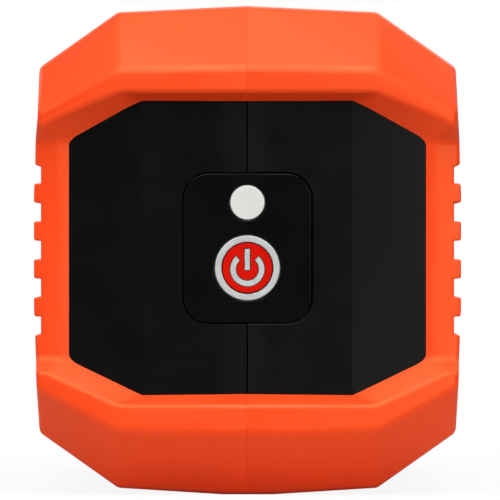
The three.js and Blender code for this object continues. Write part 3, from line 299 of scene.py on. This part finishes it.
FINISHES = {
    "armour": moulded(
        "orange_rubber", (0.96, 0.042, 0.001), (0.99, 0.046, 0.002), (0.48, 0.56),
        mottle=25 * MM, grain=0.5 * MM, depth=0.006 * MM, specular=0.76, tint=(1, 0.94, 0.40)),
    "case": moulded(
        "black_moulding", (0.0012, 0.0012, 0.0010), (0.0016, 0.0016, 0.0014), (0.36, 0.42),
        grain=0.4 * MM, depth=0.006 * MM, specular=0.13),
    "panel": moulded(
        "gloss_black", (0.0024, 0.0027, 0.0026), (0.0029, 0.0032, 0.0031), (0.18, 0.22),
        grain=0.8 * MM, depth=0.001 * MM, specular=0.2),
    "button": moulded(
        "red_cap", (0.60, 0.004, 0.001), (0.65, 0.006, 0.001), (0.36, 0.44),
        grain=0.6 * MM, depth=0.002 * MM, specular=0.06),
    "lens": moulded(
        "white_lens", (0.68, 0.71, 0.66), (0.72, 0.74, 0.69), (0.30, 0.40),
        mottle=4 * MM, grain=0.6 * MM, depth=0.002 * MM),
    "ring": moulded(
        "white_ring", (0.49, 0.52, 0.51), (0.55, 0.58, 0.57), (0.30, 0.40),
        mottle=3 * MM, grain=0.6 * MM, depth=0.002 * MM),
    "seal": moulded(
        "seal_rubber", (0.010, 0.010, 0.010), (0.016, 0.016, 0.016), (0.7, 0.8)),
    "cover": moulded(
        "cover_rubber", (0.007, 0.007, 0.007), (0.010, 0.010, 0.010), (0.52, 0.64)),
    "board": moulded(
        "solder_mask", (0.010, 0.050, 0.020), (0.014, 0.066, 0.026), (0.35, 0.5),
        mottle=3 * MM),
    "component": moulded(
        "component_body", (0.012, 0.012, 0.013), (0.020, 0.020, 0.022), (0.45, 0.6)),
    "frame": moulded(
        "grey_moulding", (0.024, 0.026, 0.028), (0.034, 0.036, 0.039), (0.5, 0.65)),
    "fuse": moulded(
        "amber_body", (0.42, 0.20, 0.018), (0.52, 0.27, 0.030), (0.25, 0.4)),
    "foil": moulded(
        "pouch_foil", (0.42, 0.44, 0.46), (0.54, 0.56, 0.58), (0.38, 0.5), metal=0.7),
    "foam": moulded(
        "foam", (0.035, 0.037, 0.042), (0.055, 0.058, 0.064), (0.9, 1.0),
        mottle=2 * MM, depth=0.1 * MM),
    "copper": moulded(
        "copper_plate", (0.46, 0.16, 0.055), (0.58, 0.22, 0.08), (0.25, 0.4), metal=1.0),
    "brass": moulded(
        "turned_brass", (0.56, 0.38, 0.09), (0.66, 0.46, 0.12), (0.2, 0.32), metal=1.0),
    "steel": moulded(
        "bright_steel", (0.46, 0.47, 0.48), (0.56, 0.57, 0.58), (0.22, 0.36),
        grain=0.2 * MM, depth=0.002 * MM, metal=1.0, stretch=(1, 12, 1)),
    "dark_steel": moulded(
        "black_steel", (0.035, 0.035, 0.037), (0.055, 0.055, 0.058), (0.32, 0.45), metal=1.0),
    "socket": moulded(
        "blue_moulding", (0.006, 0.045, 0.20), (0.010, 0.060, 0.26), (0.35, 0.48)),
}


def give_finish(obj, slot):
    obj.data.materials.clear()
    obj.data.materials.append(FINISHES[slot])


def finish_cad_nodes():
    for part in frame["record"]["subparts"]:
        give_finish(frame["nodes"][part["node"]], part["material_slot"])


# ---------------------------------------------------------------- moulded pieces

MERGE = 0.01 * MM
NEAR = 0.1 * MM
FLAT = math.radians(1.2)  # faces that turn less than this are one face
CORNER = math.radians(30)  # an edge that turns more than this is a corner
SMOOTH_TO = math.radians(35)  # shading stays smooth over edges that turn less
FITTING_SMOOTH_TO = math.radians(50)
SQUARE_ON = 0.9  # the least share of a direction that counts as along an axis
FLAT_ON = 0.99
EDGE_ON = 0.1  # the most share of a direction that counts as across an axis
SEAM_WIDTH = 0.2 * MM  # what lies this near the middle is on the seam
HIDDEN = 1  # material index of the faces that lie against a neighbour, while a mesh is made
END_START = 90 * MM  # the ends of the pack lie past this, on both sides of the middle


def merged(node):
    bm = bmesh.new()
    bm.from_mesh(frame["nodes"][node].data)
    bmesh.ops.remove_doubles(bm, verts=bm.verts, dist=MERGE)
    return bm


def join_flat_faces(bm):
    bmesh.ops.dissolve_limit(bm, angle_limit=FLAT, verts=bm.verts, edges=bm.edges,
                             delimit={"MATERIAL"})


def bevel(bm, edges, width, segments):
    bmesh.ops.bevel(bm, geom=edges, offset=width, offset_type="OFFSET", segments=segments,
                    profile=0.5, affect="EDGES", clamp_overlap=True, material=-1)


def round_corners(bm, width, segments):
    bevel(bm, [edge for edge in bm.edges if edge.calc_face_angle(0) > CORNER], width, segments)


def piece_from(bm, name, body, slot):
    for face in bm.faces:
        face.material_index = 0
    piece = mesh_object(bm, name)
    give_finish(piece, slot)
    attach(piece, body)
    return piece


def smooth_faces(piece):
    for face in piece.data.polygons:
        face.use_smooth = True


def shade(piece, sharp):
    """Smooth over rounded edges, while the flat faces between them stay flat."""
    smooth_faces(piece)
    piece.data.set_sharp_from_angle(angle=sharp)
    weigh = piece.modifiers.new("flat_faces_first", "WEIGHTED_NORMAL")
    weigh.keep_sharp = True
    weigh.weight = 100  # large faces set the normals of their corners


def soften(node, body, slot, width, segments):
    """A copy of a CAD node with a small radius on its edges."""
    bm = merged(node)
    join_flat_faces(bm)
    round_corners(bm, width, segments)
    piece = piece_from(bm, node + "_finished", body, slot)
    shade(piece, FITTING_SMOOTH_TO)
    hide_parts(node)


# ---------------------------------------------------------------- armour

FOLD = 1.1 * MM  # widths of the armour's rounded edges
SHOULDER_FOLD = 0.9 * MM
CORNER_FOLD = 0.5 * MM
SOFT_FOLD = 1.0 * MM
SIDE_EDGE = 0.8 * MM
LIP_EDGE = 0.7 * MM
RIB_EDGE = 0.4 * MM
NOTCH_FLOOR_EDGE = 0.12 * MM
RIM_EDGE = 0.12 * MM
SEAM_EDGE = 0.04 * MM
EDGE_SEGMENTS = 4

CREASE = math.radians(12)  # an edge that turns less than this isn't rounded
HARD_EDGE = math.radians(25)  # an edge that isn't rounded and turns more than this stays sharp
INWARD = -0.05  # a face that looks outwards by less than this looks inwards
SHOULDER_X = 41 * MM  # the shoulders of the bumpers lie past this, across the pack
CORNER_START = 20 * MM  # and the slanted corners of the outline past this

FIT_REACH = 0.6 * MM  # of the case behind a hidden face
AGAINST = 0.7  # the least share of a face's normal that points at the case
CASE_CLEARANCE = 0.02 * MM
RECESS_START = 85 * MM  # the walls of the recesses lie past this, along the pack
RECESS_REACH = 2 * MM

SLIVER = 0.9 * MM  # edges under this close up at the corners of the window
CORNER_X = (35.5 * MM, 43 * MM)  # where these corners lie, from the middle of the end
CORNER_Z = (21 * MM, 25.2 * MM)
LIPS = ((31.4 * MM, 29.6 * MM), (-30.9 * MM, -28.65 * MM))  # heights of lip and rim, at the seam
LIP_STRAY = 0.7 * MM  # how far the model's lips and rims may lie from these heights
RIM_STRAY = 1 * MM
RIM_CORNER = (35.6 * MM, 21.93 * MM)
RAY_START = 1.5 * high[1]  # outside the pack

GRIP_REACH = 18.9 * MM  # half height of the band of notches
GRIP_X = 40.9 * MM  # the band lies past this, across the pack
NOTCH_PITCH = 7.56 * MM
NOTCH_FLOOR = 1.5 * MM  # half width of a notch's floor in the model
NOTCH_FLOOR_X = 41.2 * MM  # how far out the floor lies
NOTCH_SQUARED = 0.3 * MM  # how much wider the floor is made on either side
SEAM_LINE = 0.003 * MM  # half width of the parting line in the rubber


def surface_of(*nodes):
    whole = bmesh.new()
    for node in nodes:
        whole.from_mesh(frame["nodes"][node].data)
    tree = BVHTree.FromBMesh(whole)
    whole.free()
    return tree


def outward(face):
    """How far a face looks away from the long axis of the pack, and not towards it."""
    centre = face.calc_center_median()
    away = Vector((centre.x - MIDDLE.x, 0, centre.z - MIDDLE.z)).normalized()
    return face.normal.dot(away)


def on_seam(face):
    return abs(face.normal.x) > FLAT_ON and abs(face.calc_center_median().x) < SEAM_WIDTH


def shown_faces(item):
    return [face for face in item.link_faces if face.material_index != HIDDEN]


def mark_hidden(bm, case):
    """Marks the faces that lie against the case."""
    for face in bm.faces:
        centre = face.calc_center_median()
        spot = case.find_nearest(centre, FIT_REACH)[0]
        hidden = spot is not None and (spot - centre).normalized().dot(face.normal) > AGAINST
        face.material_index = HIDDEN if hidden else 0


def close_slivers(bm):
    """Draws the small facets at the corners of the window together."""
    def at_corner(vert):
        return (CORNER_X[0] < abs(vert.co.x) < CORNER_X[1] and abs(vert.co.y) > END_START
                and CORNER_Z[0] < abs(vert.co.z - MIDDLE.z) < CORNER_Z[1])

    short = [edge for edge in bm.edges
             if edge.calc_length() < SLIVER and all(map(at_corner, edge.verts))
             and len(shown_faces(edge)) == len(edge.link_faces)]
    bmesh.ops.collapse(bm, edges=short, uvs=False)
    bmesh.ops.remove_doubles(bm, verts=bm.verts, dist=NEAR)


def draw_rims_to(bm, case):
    """Carries the walls of the recesses on until they meet the case."""
    moves = {}
    for edge in bm.edges:
        shown = shown_faces(edge)
        if len(shown) != 1 or abs(edge.verts[0].co.y) < RECESS_START or on_seam(shown[0]):
            continue
        wall = shown[0]
        centre = wall.calc_center_median()
        if wall.normal.y * centre.y < 0:
            continue
        line = (edge.verts[1].co - edge.verts[0].co).normalized()
        down = line.cross(wall.normal)
        if down.dot(edge.verts[0].co - centre) < 0:
            down.negate()
        for vert in edge.verts:
            moves.setdefault(vert, []).append(down.copy())
    for vert, ways in moves.items():
        way = sum(ways, Vector()).normalized()
        spot, _, _, distance = case.ray_cast(vert.co, way, RECESS_REACH)
        if spot is not None:
            vert.co += way * (distance - CASE_CLEARANCE)


def level_window(bm, case):
    """Levels the lips and rims at the seam, and draws the sides of the window in."""
    for vert in bm.verts:
        shown = shown_faces(vert)
        if abs(vert.co.y) < END_START or not shown:
            continue
        on_rim = len(shown) < len(vert.link_faces)
        height = vert.co.z - MIDDLE.z
        if abs(vert.co.x) < SEAM_WIDTH:
            for lip, rim in LIPS:
                if abs(height - lip) < LIP_STRAY and not on_rim:
                    vert.co.z = MIDDLE.z + lip
                elif abs(height - rim) < RIM_STRAY and on_rim:
                    vert.co.z = MIDDLE.z + rim
        elif on_rim and abs(vert.co.x) > CORNER_X[0] and abs(height) < CORNER_Z[1]:
            vert.co.x = math.copysign(RIM_CORNER[0], vert.co.x)
            vert.co.z = MIDDLE.z + math.copysign(RIM_CORNER[1], height)
            end = math.copysign(1, vert.co.y)
            start = Vector((vert.co.x, end * RAY_START, vert.co.z))
            spot = case.ray_cast(start, Vector((0, -end, 0)))[0]
            vert.co.y = spot.y + end * CASE_CLEARANCE


def square_notches(bm):
    """Sets the walls of the notches nearly square, apart from the upper wall of the topmost."""
    for vert in bm.verts:
        height = vert.co.z - MIDDLE.z
        off = height - round(height / NOTCH_PITCH) * NOTCH_PITCH
        if (abs(abs(vert.co.x) - NOTCH_FLOOR_X) < NEAR and abs(abs(off) - NOTCH_FLOOR) < NEAR
                and height < 2 * NOTCH_PITCH):
            vert.co.z += math.copysign(NOTCH_SQUARED, off)


def narrow_seam(bm, sign):
    for vert in bm.verts:
        if abs(vert.co.x) < SEAM_WIDTH:
            vert.co.x = sign * SEAM_LINE


def edge_width(edge):
    """The width that an edge of the armour is rounded to, by the place where it lies."""
    first, second = edge.link_faces
    shown = shown_faces(edge)
    end_fold = min(abs(first.normal.y), abs(second.normal.y)) > SQUARE_ON
    if not shown or (edge.calc_face_angle() < CREASE and not end_fold):
        return 0
    if len(shown) == 1:
        return RIM_EDGE if outward(shown[0]) > 0 else 0
    if on_seam(first) or on_seam(second):
        return SEAM_EDGE
    start, end = (vert.co for vert in edge.verts)
    middle = (start + end) / 2
    across, height = abs(middle.x), abs(middle.z - MIDDLE.z)
    if height < GRIP_REACH and across > GRIP_X:
        return RIB_EDGE if edge.is_convex else NOTCH_FLOOR_EDGE
    if not edge.is_convex:
        return SOFT_FOLD
    if (outward(first) < INWARD) != (outward(second) < INWARD):
        return LIP_EDGE
    along_pack = abs((end - start).normalized().y) > SQUARE_ON
    if along_pack and across > SHOULDER_X:
        return SHOULDER_FOLD
    if along_pack and across > CORNER_START:
        return CORNER_FOLD
    if across > SHOULDER_X and height < CORNER_Z[1]:
        return SIDE_EDGE
    return FOLD


def weigh_edges(bm):
    """Gives each edge its bevel weight, and returns the width that a weight of 1 stands for."""
    weight = bm.edges.layers.float.new("bevel_weight_edge")
    widths = {edge: edge_width(edge) for edge in bm.edges}
    widest = max(widths.values())
    for edge, width in widths.items():
        edge[weight] = width / widest
        edge.smooth = width > 0 or edge.calc_face_angle(0) <= HARD_EDGE
    return widest


def add_armour():
    case = surface_of("case_left", "case_right")
    for side, sign in (("left", -1), ("right", 1)):
        bm = merged("armour_" + side)
        mark_hidden(bm, case)
        join_flat_faces(bm)
        close_slivers(bm)
        draw_rims_to(bm, case)
        level_window(bm, case)
        square_notches(bm)
        narrow_seam(bm, sign)
        widest = weigh_edges(bm)
        armour = piece_from(bm, "rubber_armour_" + side, "pack", "armour")
        smooth_faces(armour)
        rounding = armour.modifiers.new("rounded_edges", "BEVEL")
        rounding.limit_method = "WEIGHT"
        rounding.width = widest
        rounding.segments = EDGE_SEGMENTS
        rounding.profile = 0.5
        rounding.use_clamp_overlap = False
        rounding.harden_normals = True
        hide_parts("armour_" + side)


# ---------------------------------------------------------------- case and control end

CASE_EDGE = 1.8 * MM  # radius of the case's long edges and of the folds of its ends
CASE_EDGE_SEGMENTS = 6
ROUNDING_OVER = 0.004 * MM  # how far the rounded form stands over the case's flat faces
POCKET_EDGE = 0.22 * MM
POCKET_SEGMENTS = 2
POCKET_REACH = 14 * MM  # the rim of the control panel's pocket lies within this
CONTROL_END = (  # node, body, finish, radius of its edges, segments
    ("control_panel", "pack", "panel", 0.14 * MM, 3),
    ("lamp_lens", "pack", "lens", 0.22 * MM, 3),
    ("light_ring", "pack", "ring", 0.25 * MM, 3),
    ("button_cap", "power_button", "button", 0.12 * MM, 3),
    ("button_core", "power_button", "ring", 0.08 * MM, 2),
)


def rounded_case_form():
    """The case's outer form with all of its edges rounded, a hair larger than the case."""
    bm = bmesh.new()
    for side in ("left", "right"):
        bm.from_mesh(frame["nodes"]["case_" + side].data)
    bmesh.ops.remove_doubles(bm, verts=bm.verts, dist=MERGE)
    hull = bmesh.ops.convex_hull(bm, input=bm.verts)
    spare = dict.fromkeys(item for item in hull["geom_interior"] + hull["geom_unused"]
                          if isinstance(item, bmesh.types.BMVert))
    bmesh.ops.delete(bm, geom=list(spare), context="VERTS")
    kept = {face for face in hull["geom"]
            if isinstance(face, bmesh.types.BMFace) and face.is_valid}
    bmesh.ops.delete(bm, geom=[face for face in bm.faces if face not in kept], context="FACES")
    bmesh.ops.recalc_face_normals(bm, faces=bm.faces)
    bmesh.ops.dissolve_limit(bm, angle_limit=FLAT, verts=bm.verts, edges=bm.edges)
    bevel(bm, bm.edges, CASE_EDGE, CASE_EDGE_SEGMENTS)
    for vert in bm.verts:
        vert.co += vert.normal * ROUNDING_OVER
    return mesh_object(bm, "rounded_case_form")


def combined(bm, other, operation):
    """A mesh after a Boolean operation with another object."""
    obj = mesh_object(bm, "combined")
    combine = obj.modifiers.new("combine", "BOOLEAN")
    combine.operation = operation
    combine.solver = "EXACT"
    combine.object = other
    result = bmesh.new()
    result.from_object(obj, bpy.context.evaluated_depsgraph_get())
    bpy.data.objects.remove(obj)
    return result


def on_pocket_rim(edge):
    """Whether an edge lies between the case's front and the walls of the panel's pocket."""
    if len(edge.link_faces) != 2 or not edge.is_convex:
        return False
    middle = (edge.verts[0].co + edge.verts[1].co) / 2
    facing = sorted(abs(face.normal.y) for face in edge.link_faces)
    front = [face for face in edge.link_faces if face.normal.y < -SQUARE_ON]
    return (SEAM_WIDTH < abs(middle.x) < POCKET_REACH and middle.y < -END_START
            and len(front) == 1 and facing[0] < EDGE_ON)


def add_case():
    form = rounded_case_form()
    for side in ("left", "right"):
        bm = combined(merged("case_" + side), form, "INTERSECT")
        join_flat_faces(bm)
        if side == "right":  # its rim catches the light
            rim = [edge for edge in bm.edges if on_pocket_rim(edge)]
            bevel(bm, rim, POCKET_EDGE, POCKET_SEGMENTS)
        case = piece_from(bm, "case_shell_" + side, "pack", "case")
        shade(case, SMOOTH_TO)
        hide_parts("case_" + side)
    bpy.data.objects.remove(form)


# ---------------------------------------------------------------- rear end

REAR_END = (  # node, body, finish, radius of its edges, segments
    ("rear_panel", "pack", "case", 0.25 * MM, 2),
    ("jump_socket", "pack", "socket", 0.35 * MM, 3),
    ("socket_contact_positive", "pack", "brass", 0.6 * MM, 4),
    ("socket_contact_negative", "pack", "brass", 0.6 * MM, 4),
    ("usb_a_port", "pack", "steel", 0.12 * MM, 2),
    ("usb_c_port", "pack", "steel", 0.12 * MM, 2),
)
COVER_PIN = ("pack", "steel", 0.2 * MM, 2)
SCREWS = (("rear_panel_screw", 4, Vector((0, 1, 0))), ("case_screw", 6, Vector((1, 0, 0))))

COVER_EDGE = 0.4 * MM
COVER_EDGE_SEGMENTS = 3
COVER_LIP = 1.5 * MM  # height of the finger lip under the cover
COVER_FIELD_TOP = 23.6 * MM  # of the recessed field, over the cover's lowest point
COVER_BORDER = 1.5 * MM
FIELD_FOOT = 1.1 * COVER_EDGE  # from the finger lip to the border
FIELD_SLOPE = 0.3 * MM
FIELD_DEPTH = 0.5 * MM
RIB_COUNT = 4
RIB_PITCH = 1.9 * MM
RIB_WIDTH = 1.1 * MM
RIB_SLOPE = 0.3 * MM
RIB_STANDS = 0.4 * MM
RIB_STRAY = 0.1  # of the pitch
FACE_ORDER = Vector((1.0, 1.7, 2.3))  # a direction in which no two faces are level

CROSS_ARM = 0.3  # the cross in a screw head, in radii of the head
CROSS_REACH = 0.62
CROSS_DEPTH = 0.36
CROSS_FOOT = 0.6  # width at the bottom, in widths at the mouth
HEAD_EDGE = 0.14  # rounding of the head's rim, in radii of the head
HEAD_RIM = 0.9  # the rim lies past this share of the radius
HEAD_CORNER = math.radians(60)
HEAD_SEGMENTS = 3

TONGUES = (  # node, width, thickness and depth, number of contact strips
    ("usb_a_port", (9.4 * MM, 1.6 * MM, 8.7 * MM), 4),
    ("usb_c_port", (6.4 * MM, 0.7 * MM, 5.2 * MM), 0),
)
TONGUE_OVER = 0.05 * MM  # how far the plastic stands over the tongue in the model
TONGUE_EDGE = 0.12 * MM
BLOCK_SEGMENTS = 2
TONGUE_SHORT = 1.15 * MM  # of the port's mouth
STRIP = (1.0 * MM, 6 * MM, 0.06 * MM)
STRIP_EDGE = 0.01 * MM
STRIP_SHORT = 0.5 * MM  # of the tongue's end
STRIP_PITCH = 2.0 * MM


def slice_at(bm, geom, height):
    bmesh.ops.bisect_plane(bm, geom=geom, dist=MERGE, plane_co=(0, 0, height),
                           plane_no=(0, 0, 1))


def sort_faces(bm):
    """Puts the faces in a fixed order, because cuts and insets leave it to chance."""
    bm.faces.sort(key=lambda face: face.calc_center_median().dot(FACE_ORDER))


def rear_face(bm):
    """The largest face that looks to the rear."""
    return max((face for face in bm.faces if face.normal.y > FLAT_ON),
               key=lambda face: face.calc_area())


def faces_at(bm, depth):
    """The faces that look to the rear from one depth."""
    return [face for face in bm.faces if face.normal.y > FLAT_ON
            and abs(face.calc_center_median().y - depth) < MERGE]


def add_cover(node, body):
    """A rubber cover with a finger lip, a raised border and grip ribs on its field."""
    bm = merged(node)
    join_flat_faces(bm)
    lowest = min(vert.co.z for vert in bm.verts)
    round_corners(bm, COVER_EDGE, COVER_EDGE_SEGMENTS)
    for height in (COVER_LIP + FIELD_FOOT, COVER_FIELD_TOP):
        slice_at(bm, bm.verts[:] + bm.edges[:] + bm.faces[:], lowest + height)
    bmesh.ops.inset_region(bm, faces=[rear_face(bm)], thickness=COVER_BORDER,
                           use_even_offset=True)
    bmesh.ops.inset_region(bm, faces=[rear_face(bm)], thickness=FIELD_SLOPE,
                           depth=-FIELD_DEPTH, use_even_offset=True)
    field = rear_face(bm)
    depth = field.calc_center_median().y
    first = min(vert.co.z for vert in field.verts) + RIB_WIDTH
    for rib in range(RIB_COUNT):
        for height in (rib * RIB_PITCH, rib * RIB_PITCH + RIB_WIDTH):
            faces = faces_at(bm, depth)
            borders = dict.fromkeys(
                item for face in faces for item in (*face.verts, *face.edges))
            slice_at(bm, [*borders, *faces], first + height)
    sort_faces(bm)
    ribs = []
    for face in faces_at(bm, depth):
        place = (face.calc_center_median().z - first - RIB_WIDTH / 2) / RIB_PITCH
        if abs(place - round(place)) < RIB_STRAY and 0 <= round(place) < RIB_COUNT:
            ribs.append(face)
    bmesh.ops.inset_individual(bm, faces=ribs, thickness=RIB_SLOPE, depth=RIB_STANDS,
                               use_even_offset=True)
    sort_faces(bm)
    cover = piece_from(bm, node + "_finished", body, "cover")
    shade(cover, SMOOTH_TO)
    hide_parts(node)


def cross_recess(centre, axis, head):
    """The pressed cross in a screw head, wider at its mouth."""
    arm = CROSS_ARM * head
    bm = bmesh.new()
    bmesh.ops.create_cube(bm, size=arm)
    sides = [face for face in bm.faces if abs(face.normal.z) < EDGE_ON]
    arms = bmesh.ops.extrude_discrete_faces(bm, faces=sides)["faces"]
    bm.normal_update()
    for face in arms:
        reach = face.normal * (CROSS_REACH * head - arm / 2)
        bmesh.ops.translate(bm, verts=face.verts, vec=reach)
    for vert in bm.verts:
        if vert.co.z < 0:
            vert.co = (vert.co.x * CROSS_FOOT, vert.co.y * CROSS_FOOT, -CROSS_DEPTH * head)
        else:
            vert.co.z = CROSS_DEPTH * head
    turn = Vector((0, 0, 1)).rotation_difference(axis).to_matrix().to_4x4()
    bmesh.ops.transform(bm, matrix=Matrix.Translation(centre) @ turn, verts=bm.verts)
    return mesh_object(bm, "cross_recess")


def middle_of(bm):
    spans = [[vert.co[axis] for vert in bm.verts] for axis in range(3)]
    return Vector([(min(span) + max(span)) / 2 for span in spans])


def add_screw(node, axis):
    """A screw with a rounded head and a cross in it."""
    bm = merged(node)
    top = max(vert.co.dot(axis) for vert in bm.verts)

    def on_top(vert):
        return top - vert.co.dot(axis) < MERGE

    centre = middle_of(bm)
    centre += axis * (top - centre.dot(axis))
    head = max((vert.co - centre).length for vert in bm.verts if on_top(vert))
    cutter = cross_recess(centre, axis, head)
    bm = combined(bm, cutter, "DIFFERENCE")
    bpy.data.objects.remove(cutter)
    join_flat_faces(bm)
    rim = [edge for edge in bm.edges if edge.calc_face_angle(0) > HEAD_CORNER
           and all(on_top(vert) and (vert.co - centre).length > HEAD_RIM * head
                   for vert in edge.verts)]
    bevel(bm, rim, HEAD_EDGE * head, HEAD_SEGMENTS)
    screw = piece_from(bm, node + "_finished", "pack", "dark_steel")
    shade(screw, FITTING_SMOOTH_TO)
    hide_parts(node)


def add_block(name, centre, size, edge, slot):
    bm = bmesh.new()
    bmesh.ops.create_cube(bm, size=1)
    bmesh.ops.scale(bm, vec=size, verts=bm.verts)
    bmesh.ops.translate(bm, vec=centre, verts=bm.verts)
    round_corners(bm, edge, BLOCK_SEGMENTS)
    shade(piece_from(bm, name, "pack", slot), FITTING_SMOOTH_TO)


def add_tongue(node, size, strips):
    """The plastic tongue in a port, and the contact strips on its underside."""
    width, thick, deep = size
    bm = merged(node)
    end = max(vert.co.y for vert in bm.verts) - TONGUE_SHORT
    centre = middle_of(bm)
    bm.free()
    centre.y = end - deep / 2
    over = 2 * TONGUE_OVER
    add_block(node + "_tongue", centre, (width + over, deep + over, thick + over), TONGUE_EDGE,
              "component")
    for index in range(strips):
        across = (index - (strips - 1) / 2) * STRIP_PITCH
        spot = Vector((centre.x + across, end - STRIP_SHORT - STRIP[1] / 2,
                       centre.z - thick / 2 - TONGUE_OVER - STRIP[2] / 2))
        add_block(f"{node}_strip_{index + 1}", spot, STRIP, STRIP_EDGE, "brass")


# ---------------------------------------------------------------- the whole

add_camera()
for lamp in LAMPS:
    add_lamp(*lamp)
add_world()
add_floor()
# paints a highlight into the case's colour beside the seam
add_painted_seam_highlight(FINISHES["case"])
finish_cad_nodes()
add_armour()
add_case()
for fitting in CONTROL_END + REAR_END:
    soften(*fitting)
for tongue in TONGUES:
    add_tongue(*tongue)
for cover in ("socket_cover", "port_cover"):
    add_cover(cover, cover + "_flap")
    soften(cover + "_pin", *COVER_PIN)
for screw, count, axis in SCREWS:
    for index in range(count):
        add_screw(f"{screw}_{index + 1}", axis)
